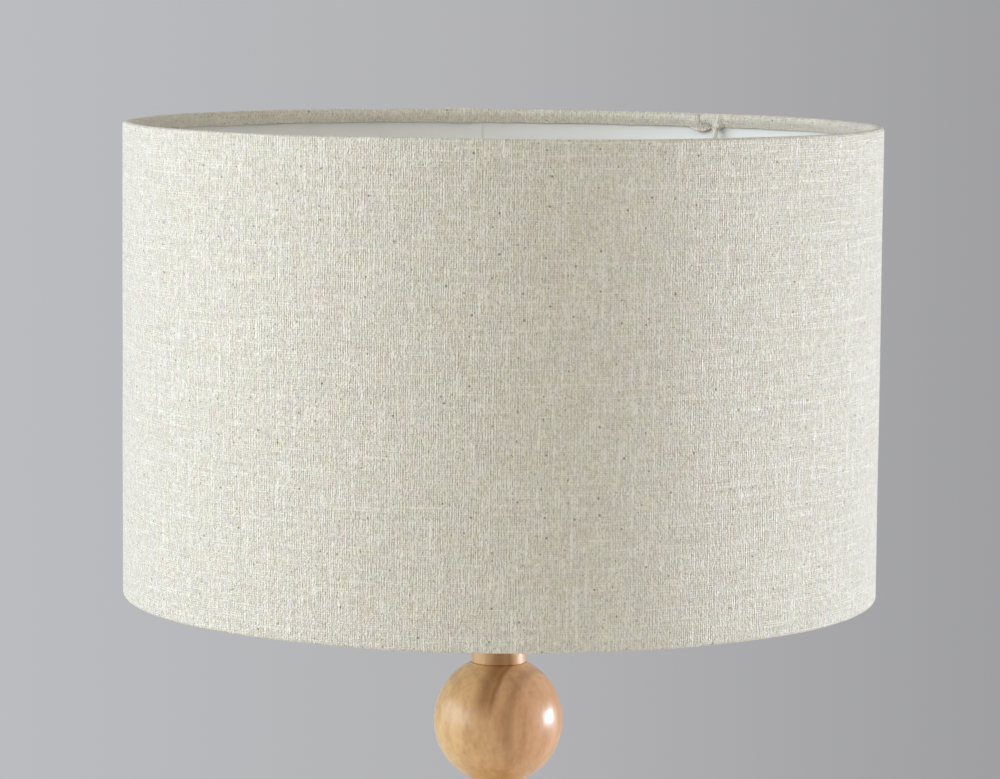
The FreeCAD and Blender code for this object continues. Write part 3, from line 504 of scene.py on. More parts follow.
def hem_rows(azimuth, side):
    """Rows of one hem, from the wall to the leaf's end: (out, up from the ring, normal, length so far)."""
    beside = min((around(azimuth, arm) for arm in arm_azimuths), key=abs)
    edge = Vector((math.cos(azimuth), math.sin(azimuth), side * HEMS_APART)) * cloth_radius
    reach = hem_length + sum(wobble(edge, wave) for wave in LEAF_WAVES)
    if side > 0:
        reach += leaf_drop(beside, azimuth)
    rows = []
    for row in range(HEM_ROWS + 1):
        travelled = reach * row / HEM_ROWS
        spot, heading = walk_hem(travelled)
        normal = Vector((heading.y, -heading.x))
        depth = travelled - hem_top
        if side > 0 and depth > 0 and abs(beside) < FINE_REACH:
            stand_off = bunching(beside, depth, wire_in_the_way(spot))
            spot = spot + normal * stand_off * smooth(*BUNCH_RISES, depth)
        rows.append((ring_radius + spot.x, spot.y, normal, travelled))
    return rows


def cloth_column(distance):
    """One upright column of the cloth, from the lower leaf's end to the upper leaf's end."""
    azimuth = SEAM_AZIMUTH + distance / cloth_radius
    out = Vector((math.cos(azimuth), math.sin(azimuth), 0))
    overlap = smooth(strip_length - SEAM_OVERLAP - SEAM_RAMP, strip_length - SEAM_OVERLAP, distance)
    fold = smooth(strip_length - FOLD_STARTS, strip_length - FOLD_FULL, distance)
    lift = (CLOTH_THICKNESS + LEAF_GAP) * overlap + SEAM_FOLD * fold
    sides = [(side, row) for side in (-1, 1) for row in hem_rows(azimuth, side)]
    rows = [(side, out_to, side * (wall_half + up), normal, side * (wall_half + travelled))
            for side, (out_to, up, normal, travelled) in sides]
    lower = list(reversed(rows[:HEM_ROWS + 1]))
    levels = [wall_half * (2 * row / WALL_ROWS - 1) for row in range(1, WALL_ROWS)]
    wall = [(level / wall_half, cloth_radius, level, Vector((1, 0)), level) for level in levels]
    column = []
    for side, out_to, level, normal, flat in lower + wall + rows[HEM_ROWS + 1:]:
        push = lift + wobble(out * cloth_radius + Vector((0, 0, level)), WALL_WAVE)
        rise = wobble(out * cloth_radius + Vector((0, 0, math.copysign(1, side))), RIM_WAVE)
        height = wall_middle + level + side * normal.y * push + abs(side) * rise
        column.append((out * (out_to + normal.x * push) + Vector((0, 0, height)), (distance / MM, flat / MM)))
    return column


arm_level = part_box("fitter_arm_1")[0].z + wire_radius
wall_middle = (shade_low.z + shade_high.z) / 2
wall_half = ring_level - wall_middle
strip_length = 2 * math.pi * cloth_radius + SEAM_OVERLAP
arm_places = [((arm - SEAM_AZIMUTH) % (2 * math.pi)) * cloth_radius for arm in arm_azimuths]
cloth_places = strip_columns(strip_length, arm_places + [0.0, strip_length])
cloth = grid_mesh("drum_cloth", [cloth_column(place) for place in cloth_places])
thicken(cloth, CLOTH_THICKNESS)
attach(cloth, "shade")
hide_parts("shade_cloth")

# %% [markdown]
# ## The lining
#
# The white film inside gives the shade its stiffness and throws the light down and up. It is a strip too:
# its end lies on its beginning, and from in front this shows as one faint upright line at the back.
#
# The same grid does it. Nothing bends much up and down, so a row every 2 cm is enough.

# %% Build the lining
LINING_SEAM = math.radians(96.6)
LINING_OVERLAP = 10.0 * MM
LINING_RAMP = 14.0 * MM
LINING_FILM = 0.38 * MM
LINING_GAP = 0.04 * MM
LINING_ROWS = 12
LINING_WAVE = (0.1 * MM, 90 * MM, 9.0)  # height, length and seed
WAVE_RADIUS = 0.19  # metres from the axis, where the wave is taken


def lining_column(distance, length):
    """One upright column of the film. Its last stretch lies inside its first."""
    azimuth = LINING_SEAM - distance / ring_radius
    out = Vector((math.cos(azimuth), math.sin(azimuth), 0))
    step = smooth(length - LINING_OVERLAP - LINING_RAMP, length - LINING_OVERLAP, distance)
    radius = lining_high.x - LINING_FILM / 2 - step * (LINING_FILM + LINING_GAP)
    rows = []
    for row in range(LINING_ROWS + 1):
        level = lining_low.z + (lining_high.z - lining_low.z) * row / LINING_ROWS
        point = out * (radius + wobble(out * WAVE_RADIUS + Vector((0, 0, level)), LINING_WAVE))
        rows.append((point + Vector((0, 0, level)), (distance / MM, level / MM)))
    return rows


film_length = 2 * math.pi * ring_radius + LINING_OVERLAP
film_places = strip_columns(film_length, [0.0, film_length])
lining = grid_mesh("drum_lining", [lining_column(place, film_length) for place in film_places])
thicken(lining, LINING_FILM)
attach(lining, "shade")
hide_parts("shade_lining")

# %% [markdown]
# ## The felt under the foot
#
# Felt is punched from a sheet, so its edge is soft: fibres stand out of it and its corner is round. A
# turned disc with a rounded, slightly ragged edge reads as felt where a sharp disc reads as card.

# %% Build the felt
FELT_SEGMENTS = 240
FELT_EDGE_ROWS = 7
FELT_RINGS = (0.0, 0.35, 0.7, 0.93)  # shares of the radius
FELT_RAGS = (0.25 * MM, 1.6 * MM, 4.0)  # height, length and seed

felt_low, felt_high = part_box("foot_felt")


def felt_disc():
    """A closed disc with a round, ragged edge, turned about the lamp's axis."""
    radius, half_height = felt_high.x, (felt_high.z - felt_low.z) / 2
    section = [(share * radius, -half_height) for share in FELT_RINGS]
    for row in range(FELT_EDGE_ROWS + 1):
        turn = math.pi * (row / FELT_EDGE_ROWS - 0.5)
        section.append((radius - half_height + half_height * math.cos(turn), half_height * math.sin(turn)))
    section += [(share * radius, half_height) for share in reversed(FELT_RINGS)]
    mesh = bmesh.new()
    loops = []
    for out, up in section:
        loop = []
        for segment in range(FELT_SEGMENTS if out else 1):
            turn = 2 * math.pi * segment / FELT_SEGMENTS
            point = Vector((out * math.cos(turn), out * math.sin(turn), felt_low.z + half_height + up))
            if out > radius * FELT_RINGS[-1]:
                point *= 1 + wobble(point, FELT_RAGS) / radius
                point.z = max(point.z, felt_low.z)
            loop.append(mesh.verts.new(point))
        loops.append(loop)
    for lower, upper in zip(loops, loops[1:]):
        for segment in range(FELT_SEGMENTS):
            following = (segment + 1) % FELT_SEGMENTS
            corners = [lower[segment % len(lower)], lower[following % len(lower)]]
            corners += [upper[following % len(upper)], upper[segment % len(upper)]]
            mesh.faces.new(list(dict.fromkeys(corners)))
    data = bpy.data.meshes.new("felt_pad")
    mesh.to_mesh(data)
    mesh.free()
    data.shade_smooth()
    pad = bpy.data.objects.new("felt_pad", data)
    scene.collection.objects.link(pad)
    return pad


felt = felt_disc()
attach(felt, "stand")
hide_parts("foot_felt")

# %% [markdown]
# ## Slub cloth: the weave
#
# The cloth is a plain weave of natural linen and cotton: each upright thread goes over one level thread
# and under the next. Its yarn is spun unevenly on purpose, and the thick stretches are called slubs. Bits
# of the plant's stalk are spun in with them. The eye takes four things from it: the over-and-under
# relief, thick and thin threads that make upright and level streaks, soft brown flecks, and a slow drift
# of the tint from one yarn to the next. The first two are relief, so they show most where light comes
# from the side, and wash out where the light is square on.
#
# All of it is drawn on the strip's own millimetres, thread by thread. Rounding a place down gives the
# number of the thread, and what is left over is the place across it. The number goes into the noise that
# makes that thread thick and thin, a parabola gives it its round back, and a sine wave takes it over and
# under. The higher of the two threads is the one that is seen. The threads really lie about 0.6 mm apart.
# They are drawn 1 mm apart here, because finer ones are hardly wider than a dot of the picture and blur.

# %% Weave the threads
THREAD_PITCH = {"X": 1.1, "Y": 1.0}  # mm, across and up
THREAD_WANDER = 2.4  # mm, which makes them lie closer here and further apart there
SPACING_CELL = 4.0  # mm across the threads
SPACING_RUN = 60.0  # mm along them
YARN_STEP = 7.3  # how far the noise goes on from one thread to its neighbour
YARN_NOISE = (0.42, 0.86)  # of the noise, what gives the thinnest and the thickest yarn
THREAD_THIN = 0.6  # how high a thin thread's back stands, in half pitches
THREAD_THICK = 3.0
THREAD_CRIMP = 0.45  # how far a thread goes over and under, in the same measure
LEVEL_SHARE = 0.55  # how high a level thread stands beside an upright one of the same yarn
SLUB_LENGTH = 18.0  # mm


def woven_threads(tree, strip):
    """The height of the cloth's surface, in half pitches: the higher of the upright and level thread."""
    strip_axes = add_node(tree, "SeparateXYZ", {0: strip}).outputs
    place, number, within = {}, {}, {}
    for axis, cell in (("X", (SPACING_CELL, SPACING_RUN, 1.0)), ("Y", (SPACING_RUN, SPACING_CELL, 1.0))):
        cells = add_node(tree, "VectorMath", {0: strip, 1: cell}, operation="DIVIDE")
        pattern = {"Vector": cells, "Scale": 1.0, "Detail": 1.0}
        uneven = add_node(tree, "TexNoise", pattern, noise_dimensions="2D").outputs["Fac"]
        shift = {0: uneven, 1: THREAD_WANDER, 2: strip_axes[axis]}
        moved = add_node(tree, "Math", shift, operation="MULTIPLY_ADD")
        place[axis] = add_node(tree, "Math", {0: moved, 1: THREAD_PITCH[axis]}, operation="DIVIDE")
        number[axis] = add_node(tree, "Math", {0: place[axis]}, operation="FLOOR")
        within[axis] = add_node(tree, "Math", {0: place[axis]}, operation="FRACT")
    heights = []
    for along, across, side, share in (("Y", "X", 1, 1.0), ("X", "Y", -1, LEVEL_SHARE)):
        yarn = add_node(tree, "CombineXYZ", {0: number[across], 1: place[along]})
        steps = (YARN_STEP * side, 1 / SLUB_LENGTH, 1.0)
        stretched = add_node(tree, "Mapping", {0: yarn, "Scale": steps})
        pattern = {"Vector": stretched, "Scale": 1.0, "Detail": 4.0, "Roughness": 0.75}
        spun = add_node(tree, "TexNoise", pattern, noise_dimensions="2D").outputs["Fac"]
        limits = {"From Min": YARN_NOISE[0], "From Max": YARN_NOISE[1]}
        limits |= {"To Min": THREAD_THIN * share, "To Max": THREAD_THICK * share}
        thick = add_node(tree, "MapRange", {"Value": spun, **limits}, interpolation_type="SMOOTHSTEP")
        centred = add_node(tree, "Math", {0: within[across], 1: 2.0, 2: -1.0}, operation="MULTIPLY_ADD")
        fall = add_node(tree, "Math", {0: centred, 1: 2.0}, operation="POWER")
        back = add_node(tree, "Math", {0: thick, 1: fall}, operation="SUBTRACT")
        phase = add_node(tree, "Math", {0: place[along], 1: number[across]}, operation="ADD")
        turn = add_node(tree, "Math", {0: phase, 1: math.pi}, operation="MULTIPLY")
        wave = add_node(tree, "Math", {0: turn}, operation="SINE")
        crimp = {0: wave, 1: side * THREAD_CRIMP, 2: back}
        heights.append(add_node(tree, "Math", crimp, operation="MULTIPLY_ADD"))
    return add_node(tree, "Math", {0: heights[0], 1: heights[1]}, operation="MAXIMUM")


print("threads drawn", THREAD_PITCH, "mm apart")

# %% [markdown]
# ## Slub cloth: the tone and the flecks
#
# The relief also paints shade into the colour: holes between threads are painted darker, as the shadow
# in them, and threads' backs lighter. Loose fibre stands out of the yarn in tufts, so a stretched noise
# is laid on the woven height. The drift of the tint is a coloured noise laid over the cloth softly. A
# fleck is the middle of a Voronoi cell, and the cell's random colour gives each one a size of its own.
# Linen has a soft shine, so the roughness is middling, with a little sheen on top.

# %% Make the slub cloth
CLOTH_LIGHT = "#F9F3E6"
# The darker colour is painted shade, for the holes between threads.
CLOTH_HOLE_SHADE = "#CFC3AD"
FLECK_BROWN = "#70481F"
FLECKS = ((5.5, 0.6, 0.7), (12.0, 1.0, 0.85))  # spacing and largest radius in mm, share of the brown
TINT_PATCH = 9.0  # mm
TINT_SHARE = 0.32
FIBRE_TUFT = Vector((0.8, 2.4, 1.0))  # mm, across and up
FIBRE_HEIGHT = 3.2  # in half pitches
# Painted shade in the weave: at the first height, the holes, it is deepest, and at the second, the threads'
# backs, it is gone.
HOLE_SHADE_HEIGHTS = {"From Min": 1.0, "From Max": 2.95}  # in half pitches, where it is darkest and lightest
THREAD_HEIGHT = 0.24 * MM  # of one half pitch in the relief


def slub_cloth():
    """Plain-woven natural cloth with slubs and flecks, on the millimetres of the flat strip."""
    material, tree, surface = new_material(
        "plain-woven slub linen",
        roughness=0.45,
        specular_ior_level=0.6,
        sheen_weight=0.15,
        sheen_roughness=0.4,
    )
    strip = add_node(tree, "UVMap", uv_map="strip_mm").outputs["UV"]
    woven = woven_threads(tree, strip)
    tufts = add_node(tree, "VectorMath", {0: strip, 1: FIBRE_TUFT}, operation="DIVIDE")
    pattern = {"Vector": tufts, "Scale": 1.0, "Detail": 2.0}
    fuzz = add_node(tree, "TexNoise", pattern, noise_dimensions="2D").outputs["Fac"]
    relief = add_node(tree, "Math", {0: fuzz, 1: FIBRE_HEIGHT, 2: woven}, operation="MULTIPLY_ADD")
    # Low places of the relief get the darker colour, as painted shade in the holes between threads.
    tone = add_node(tree, "MapRange", {"Value": relief, **HOLE_SHADE_HEIGHTS})
    tones = {0: tone, 6: linear(CLOTH_HOLE_SHADE), 7: linear(CLOTH_LIGHT)}
    colour = add_node(tree, "Mix", tones, data_type="RGBA").outputs[2]
    pattern = {"Vector": strip, "Scale": 1 / TINT_PATCH, "Detail": 3.0, "Roughness": 0.7}
    patches = add_node(tree, "TexNoise", pattern, noise_dimensions="2D").outputs["Color"]
    tinted = {0: TINT_SHARE, 6: colour, 7: patches}
    colour = add_node(tree, "Mix", tinted, data_type="RGBA", blend_type="SOFT_LIGHT").outputs[2]
    for spacing, radius, share in FLECKS:
        spots = add_node(
            tree, "TexVoronoi", {"Vector": strip, "Scale": 1 / spacing}, voronoi_dimensions="2D"
        ).outputs
        chance = add_node(tree, "SeparateColor", {0: spots["Color"]})
        reach = add_node(tree, "Math", {0: chance, 1: radius / spacing}, operation="MULTIPLY")
        fades = {"From Min": reach, "From Max": 0.0, "To Max": share}
        fleck = add_node(
            tree, "MapRange", {"Value": spots["Distance"], **fades}, interpolation_type="SMOOTHSTEP"
        )
        flecked = {0: fleck, 6: colour, 7: linear(FLECK_BROWN)}
        colour = add_node(tree, "Mix", flecked, data_type="RGBA").outputs[2]
    bump = add_node(tree, "Bump", {"Height": relief, "Strength": 1.0, "Distance": THREAD_HEIGHT})
    tree.links.new(colour, surface.inputs["Base Color"])
    tree.links.new(bump.outputs["Normal"], surface.inputs["Normal"])
    return material


cloth.data.materials.append(slub_cloth())
print("slub cloth: flecks at", [spacing for spacing, _, _ in FLECKS], "mm, tint patches of", TINT_PATCH, "mm")

# %% [markdown]
# ## Lining film
#
# The lining is calendered styrene: a white plastic pressed between smooth rollers. The eye gets an even
# white with a satin shine and a very slight ripple where the glue holds it.

# %% Make the lining film
FILM_RIPPLE = 9 * MM
FILM_RIPPLE_DEPTH = 0.15 * MM


def lining_film():
    """Satin white plastic film with a faint ripple."""
    material, tree, surface = new_material(
        "calendered white styrene", base_color=linear("#F3F3F1"), roughness=0.42, ior=1.55
    )
    spot = add_node(tree, "TexCoord").outputs["Object"]
    pattern = {"Vector": spot, "Scale": 1 / FILM_RIPPLE, "Detail": 2.0}
    ripple = add_node(tree, "TexNoise", pattern).outputs["Fac"]
    bump = add_node(tree, "Bump", {"Height": ripple, "Strength": 0.3, "Distance": FILM_RIPPLE_DEPTH})
    tree.links.new(bump.outputs["Normal"], surface.inputs["Normal"])
    return material


lining.data.materials.append(lining_film())
print("lining film: ripples of", FILM_RIPPLE / MM, "mm")

# %% [markdown]
# ## Turned wood
#
# Pale honey rubberwood is what such balls are turned from. It is a plain, light hardwood with hardly any
# rings to be seen: soft upright bands, a fine mottle, and now and then a darker streak where a piece lay
# near the heart of the tree. The grain runs up the lamp, since the blanks are cut from long squares. A
# clear satin lacquer lies on top and gives small, soft highlights.
#
# Wood is a solid pattern: it is laid down in shells about the tree's middle, and the lathe cuts through
# them. So the pattern is worked out from the place in space and not from a wrapped picture, and a ball
# shows the right arcs by itself. The heart is three shells of brown, each with its own width, and it
# comes in from a certain height up. On the top ball and its collar, the widest shell is partly the
# heart's brown and partly painted shade, for the shade that the drum above casts on their front.

# %% Make the turned wood
WOOD_CREAM = "#F0C783"
WOOD_PINK = "#E2A97A"
WOOD_SHADED = "#BE8249"
# Brown of the heart streaks, which on the top ball and its collar is also painted shade.
HEART_AND_SHADE_BROWN = "#985D26"
TREE_AWAY = 600 * MM  # from the middle of the rings to the middle of a blank: they are nearly flat there
TINT_SHELLS = {"From Min": TREE_AWAY - 25 * MM, "From Max": TREE_AWAY + 30 * MM}  # from cream to pink
HEART_AND_SHADE = (  # distance from the blank's middle, half width, share of the brown, where on the ball it starts
    # On the top ball and its collar this wide zone is partly the heart's brown and partly painted shade from
    # the drum above.
    (7.5 * MM, 8.5 * MM, 0.76, 7 * MM),  # a wide zone
    (11.6 * MM, 2.0 * MM, 0.7, 8 * MM),  # its core
    (20.0 * MM, 3.6 * MM, 0.42, -14 * MM),  # a side streak, which runs further down
)
HEART_FADE = (-5 * MM, 9 * MM)  # about the height where a shell starts
SHELL_WAVE = 1.8 * MM
BAND_CELL = Vector((6, 6, 42))  # mm, the last one along the grain
FIBRE_CELL = Vector((0.9, 0.9, 13))
MOTTLE_CELL = Vector((2.2, 2.2, 4.5))
BAND_SHARE = 1.3  # of the bands in the shading, beside the mottle
FIBRE_SHARE = 0.5
SHADED_GRAIN = {"From Min": 1.15, "From Max": 1.85, "To Max": 0.6}
PORE_DEPTH = 0.04 * MM


def turned_rubberwood(name, turn, lift, heart_middle):
    """Lathe-turned pale hardwood under clear satin lacquer. Its heart, partly painted shade on the top ball,
    shows from near heart_middle up.
    """
    material, tree, surface = new_material(
        name, roughness=0.42, ior=1.5, coat_weight=0.65, coat_roughness=0.2, coat_ior=1.5
    )
    spot = add_node(tree, "TexCoord").outputs["Object"]
    blank = add_node(tree, "Mapping", {"Vector": spot, "Rotation": (0, 0, turn), "Location": (0, 0, lift)})
    grains = []
    for cell, detail in ((BAND_CELL, 1.0), (FIBRE_CELL, 2.0), (MOTTLE_CELL, 2.0)):
        sizes = {"Vector": blank, "Scale": [1 / (side * MM) for side in cell]}
        cells = add_node(tree, "Mapping", sizes)
        pattern = {"Vector": cells, "Scale": 1.0, "Detail": detail}
        grains.append(add_node(tree, "TexNoise", pattern).outputs["Fac"])
    bands, fibres, mottle = grains
    # The distance from the tree's middle, made uneven by the bands, gives the tint and the heart streak.
    level = add_node(tree, "VectorMath", {0: blank, 1: (1.0, 1.0, 0.0)}, operation="MULTIPLY")
    from_middle = add_node(
        tree, "VectorMath", {0: level, 1: (-TREE_AWAY, 0, 0)}, operation="DISTANCE"
    ).outputs["Value"]
    shell = add_node(tree, "Math", {0: bands, 1: SHELL_WAVE, 2: from_middle}, operation="MULTIPLY_ADD")
    tint = add_node(tree, "MapRange", {"Value": shell, **TINT_SHELLS})
    tints = {0: tint, 6: linear(WOOD_CREAM), 7: linear(WOOD_PINK)}
    colour = add_node(tree, "Mix", tints, data_type="RGBA").outputs[2]
    grain = mottle
    for more, share in ((fibres, FIBRE_SHARE), (bands, BAND_SHARE)):
        grain = add_node(tree, "Math", {0: more, 1: share, 2: grain}, operation="MULTIPLY_ADD")
    shaded = add_node(tree, "MapRange", {"Value": grain, **SHADED_GRAIN})
    shades = {0: shaded, 6: colour, 7: linear(WOOD_SHADED)}
    colour = add_node(tree, "Mix", shades, data_type="RGBA").outputs[2]
    height = add_node(tree, "SeparateXYZ", {0: spot}).outputs["Z"]
    for shell_at, half_width, share, above in HEART_AND_SHADE:
        start, full = [heart_middle + above + edge for edge in HEART_FADE]
        fade = {"Value": height, "From Min": start, "From Max": full}
        shows = add_node(tree, "MapRange", fade, interpolation_type="SMOOTHSTEP")
        off = add_node(tree, "Math", {0: shell, 1: TREE_AWAY + shell_at}, operation="SUBTRACT")
        beside = add_node(tree, "Math", {0: off}, operation="ABSOLUTE")
        zone = {"Value": beside, "From Min": half_width, "From Max": 0.0, "To Max": share}
        streak = add_node(tree, "MapRange", zone, interpolation_type="SMOOTHSTEP")
        # The brown is heart streak, and in the wide zone on the top ball and its collar also painted shade.
        heart = add_node(tree, "Math", {0: streak, 1: shows}, operation="MULTIPLY")
        browned = {0: heart, 6: colour, 7: linear(HEART_AND_SHADE_BROWN)}
        colour = add_node(tree, "Mix", browned, data_type="RGBA").outputs[2]
    tree.links.new(colour, surface.inputs["Base Color"])
    bump = add_node(tree, "Bump", {"Height": fibres, "Strength": 0.3, "Distance": PORE_DEPTH})
    tree.links.new(bump.outputs["Normal"], surface.inputs["Normal"])
    return material


print("wood: heart shells", [round(zone[0] / MM, 1) for zone in HEART_AND_SHADE], "mm from the middle of the blank")

# %% [markdown]
# ## Which blank a piece comes from
#
# A ball and the collar on it are cut from one blank, so a streak runs on from one to the other. Every
# blank lies elsewhere in the tree, and is turned another way, so that no two balls look alike. The foot
# and the lowest collar are cut from clear wood without a heart.

# %% Cut every wooden piece from its blank
TOP_BLANK = 4
TOP_TURN = math.radians(26.4)
BLANK_TURN = math.radians(137.5)
BLANK_LENGTH = 0.31  # metres up the tree from one blank to the next
NO_HEART = 100 * MM  # so far up that a piece of clear wood never reaches its heart

wooden = sorted(name for name in nodes if nodes[name].material_slots[0].material.name == "turned_wood")
for name in wooden:
    kind, _, number = name.rpartition("_")
    blank = int(number) - (kind == "wooden_collar") if number.isdigit() else -1
    carrier_low, carrier_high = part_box(f"wooden_ball_{blank}" if blank > 0 else name)
    others = blank - TOP_BLANK
    nodes[name].material_slots[0].material = turned_rubberwood(
        f"lacquered rubberwood, {name.replace('_', ' ')}",
        TOP_TURN + others * BLANK_TURN,
        others * BLANK_LENGTH,
        (carrier_low.z + carrier_high.z) / 2 + (0 if blank > 0 else NO_HEART),
    )
print("turned wood on", wooden)

# %% [markdown]
# ## Metals
#
# Satin nickel covers the neck, socket, harp and finial: it is brushed before it is plated, so its shine
# is drawn out into soft streaks. The pipe and nut are zinc-plated steel, bluish and a little cloudy. The
# socket's inner metal is rolled brass, the bulb's cap is drawn aluminium, its tip a drop of solder, and
# its filament tungsten wire. The foot's weight is cast iron, dull and rough from the sand. A metal's
# colour is the colour of its mirror image, so the shader takes it as the base colour with full metallic,
# and the roughness says how blurred that image is.
#
# One function serves all seven. Brushing and clouding differ only in the size of a noise cell: long and
# thin for brushing, round for clouding.

# %% Make the metals
METAL_NOISE = (0.25, 0.75)  # where nearly all of the noise lies
METAL_DULLED = 0.86  # how bright the dullest spots are


def brushed_metal(name, colour, roughness, cell_mm, uneven, depth_mm):
    """A bare or plated metal whose roughness varies in cells of cell_mm, with that relief."""
    material, tree, surface = new_material(name, metallic=1.0)
    spot = add_node(tree, "TexCoord").outputs["Object"]
    sizes = {"Vector": spot, "Scale": [1 / (side * MM) for side in cell_mm]}
    cells = add_node(tree, "Mapping", sizes)
    pattern = {"Vector": cells, "Scale": 1.0, "Detail": 3.0}
    streaks = add_node(tree, "TexNoise", pattern).outputs["Fac"]
    limits = {"From Min": METAL_NOISE[0], "From Max": METAL_NOISE[1]}
    limits |= {"To Min": roughness - uneven, "To Max": roughness + uneven}
    shine = add_node(tree, "MapRange", {"Value": streaks, **limits})
    dulled = [channel * METAL_DULLED for channel in linear(colour)[:3]] + [1.0]
    tint = add_node(tree, "Mix", {0: streaks, 6: linear(colour), 7: dulled}, data_type="RGBA")
    bump = add_node(tree, "Bump", {"Height": streaks, "Strength": 0.4, "Distance": depth_mm * MM})
    tree.links.new(shine.outputs[0], surface.inputs["Roughness"])
    tree.links.new(tint.outputs[2], surface.inputs["Base Color"])
    tree.links.new(bump.outputs["Normal"], surface.inputs["Normal"])
    return material


finishes = {
    "satin_nickel": brushed_metal("brushed satin nickel plate", "#CBC6BC", 0.30, (6, 6, 0.25), 0.06, 0.01),
    "zinc_steel": brushed_metal("clear zinc plate on steel", "#C4C7CA", 0.38, (3, 3, 3), 0.10, 0.02),
    "contact_brass": brushed_metal("rolled brass", "#D9B36A", 0.28, (0.4, 5, 5), 0.07, 0.01),
    "cap_aluminium": brushed_metal("drawn aluminium", "#D3D4D6", 0.32, (4, 4, 0.3), 0.07, 0.01),
    "solder": brushed_metal("wiped tin solder", "#B9B9B8", 0.42, (0.8, 0.8, 0.8), 0.12, 0.05),
    "filament_wire": brushed_metal("drawn tungsten wire", "#8E8C88", 0.45, (0.2, 0.2, 2), 0.08, 0.005),
    "cast_weight": brushed_metal("sand-cast iron", "#6B6765", 0.62, (1.2, 1.2, 1.2), 0.12, 0.25),
}
print("metals:", ", ".join(sorted(finishes)))

# %% [markdown]
# ## Wire enamel, plastics, card and felt
#
# The fitter and rings are steel wire under white powder paint, which leaves a fine orange-peel skin. The
# switch knob and the moulded core inside the socket are thermoset plastics: pressed hot, hard, with a low
# even shine. The liner between shell and core is vulcanised fibre, a dense grey card. The felt is pressed
# wool, all short fibres and no shine. The bulb's black insulator is glass that was poured and pressed.
#
# These are one family: a base colour that varies a little and a relief of small round cells. What changes
# is the cell's real size, its depth, and the shine.

# %% Make the painted, moulded and pressed finishes
GRAIN_NOISE = {"From Min": 0.3, "From Max": 0.7}  # where nearly all of the noise lies


def grained_finish(name, light, dark, roughness, cell_mm, depth_mm, **constants):
    """A non-metal whose colour moves between two tones, with a relief of round cells."""
    material, tree, surface = new_material(name, roughness=roughness, **constants)
    spot = add_node(tree, "TexCoord").outputs["Object"]
    pattern = {"Vector": spot, "Scale": 1 / (cell_mm * MM), "Detail": 3.0}
    cells = add_node(tree, "TexNoise", pattern).outputs["Fac"]
    tone = add_node(tree, "MapRange", {"Value": cells, **GRAIN_NOISE})
    colour = add_node(tree, "Mix", {0: tone, 6: linear(dark), 7: linear(light)}, data_type="RGBA")
    bump = add_node(tree, "Bump", {"Height": cells, "Strength": 0.6, "Distance": depth_mm * MM})
    tree.links.new(colour.outputs[2], surface.inputs["Base Color"])
    tree.links.new(bump.outputs["Normal"], surface.inputs["Normal"])
    return material


finishes |= {
    "white_wire": grained_finish("white powder coat", "#E4E3DA", "#D8D6CB", 0.38, 1.4, 0.03, ior=1.5),
    "black_plastic": grained_finish(
        "moulded black urea resin", "#2A2826", "#1B1A19", 0.33, 0.8, 0.01, ior=1.6
    ),
    "phenolic": grained_finish("moulded brown phenolic", "#4A2F20", "#38231A", 0.40, 1.0, 0.01, ior=1.6),
    "card_liner": grained_finish("vulcanised fibre card", "#8F8B84", "#7B766E", 0.72, 0.9, 0.04),
    "felt": grained_finish(
        "pressed wool felt", "#5B4A3A", "#3E3228", 0.95, 0.6, 0.30, sheen_weight=0.5, sheen_roughness=0.5
    ),
    "black_glass": grained_finish("pressed black glass", "#17161A", "#0E0D10", 0.12, 2.0, 0.01, ior=1.52),
}
felt.data.materials.append(finishes["felt"])
print("painted, moulded and pressed finishes made:", len(finishes), "finishes so far")

# %% [markdown]
# ## Glass
#
# The bulb is soda-lime glass, etched inside with acid. Light goes in and comes out spread, so an unlit
# bulb is a soft greyish white with a clear outer gloss. The stem inside is lead glass, clear with a faint
# warm tone.
#
# Frosting is roughness on glass. Some of the light has to come back white, though, so the shader is part
# glass and part matt white, and a thin coat gives the smooth outer skin.

# %% Make the glasses
ETCH_GRAIN = 0.7 * MM  # drawn coarser than real etching, to show at all
ETCH_ROUGHNESS = {"To Min": 0.40, "To Max": 0.62}
DRAWN_CELL = (2.5, 2.5, 50 / 3)  # mm, the last one along the stem
DRAWN_DEPTH = 0.1 * MM


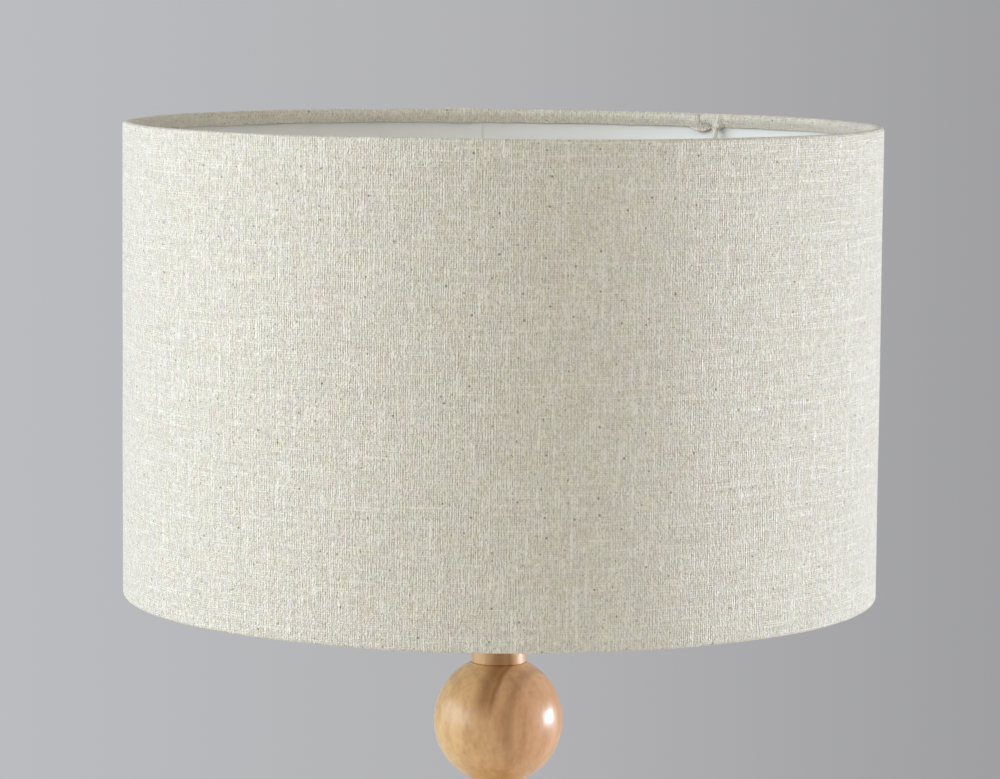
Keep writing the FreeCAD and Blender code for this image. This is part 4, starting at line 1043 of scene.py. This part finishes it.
def etched_glass():
    """Inside-frosted bulb glass: part diffusing white, part rough glass, under a smooth skin."""
    material, tree, surface = new_material(
        "acid-etched soda-lime glass",
        ior=1.52,
        transmission_weight=0.45,
        coat_weight=0.8,
        coat_roughness=0.05,
        coat_ior=1.52,
    )
    spot = add_node(tree, "TexCoord").outputs["Object"]
    pattern = {"Vector": spot, "Scale": 1 / ETCH_GRAIN, "Detail": 2.0}
    etch = add_node(tree, "TexNoise", pattern).outputs["Fac"]
    frost = add_node(tree, "MapRange", {"Value": etch, **ETCH_ROUGHNESS})
    whites = {0: etch, 6: linear("#ECEDEB"), 7: linear("#F6F6F4")}
    tint = add_node(tree, "Mix", whites, data_type="RGBA")
    tree.links.new(frost.outputs[0], surface.inputs["Roughness"])
    tree.links.new(tint.outputs[2], surface.inputs["Base Color"])
    return material


def stem_glass():
    """Clear lead glass with drawn ripples."""
    material, tree, surface = new_material(
        "drawn lead glass", base_color=linear("#F1EFE6"), roughness=0.04, ior=1.56, transmission_weight=1.0
    )
    spot = add_node(tree, "TexCoord").outputs["Object"]
    sizes = {"Vector": spot, "Scale": [1 / (side * MM) for side in DRAWN_CELL]}
    drawn = add_node(tree, "Mapping", sizes)
    ripple = add_node(tree, "TexNoise", {"Vector": drawn, "Scale": 1.0}).outputs["Fac"]
    bump = add_node(tree, "Bump", {"Height": ripple, "Strength": 0.3, "Distance": DRAWN_DEPTH})
    tree.links.new(bump.outputs["Normal"], surface.inputs["Normal"])
    return material


finishes["frosted_glass"] = etched_glass()
finishes["stem_glass"] = stem_glass()
print("glasses made, so there are", len(finishes), "finishes")

# %% [markdown]
# ## Dress the hard parts
#
# Each hard part arrives with the name of its finish in its material slot. So dressing it is a look-up,
# and no part can be forgotten: one without a finish would stop the script here.

# %% Give every hard part its finish
dressed = 0
for name, node in nodes.items():
    slot = node.material_slots[0].material.name
    if name in wooden or node.hide_render:
        continue
    node.material_slots[0].material = finishes[slot]
    dressed += 1
print("dressed", dressed, "hard parts")
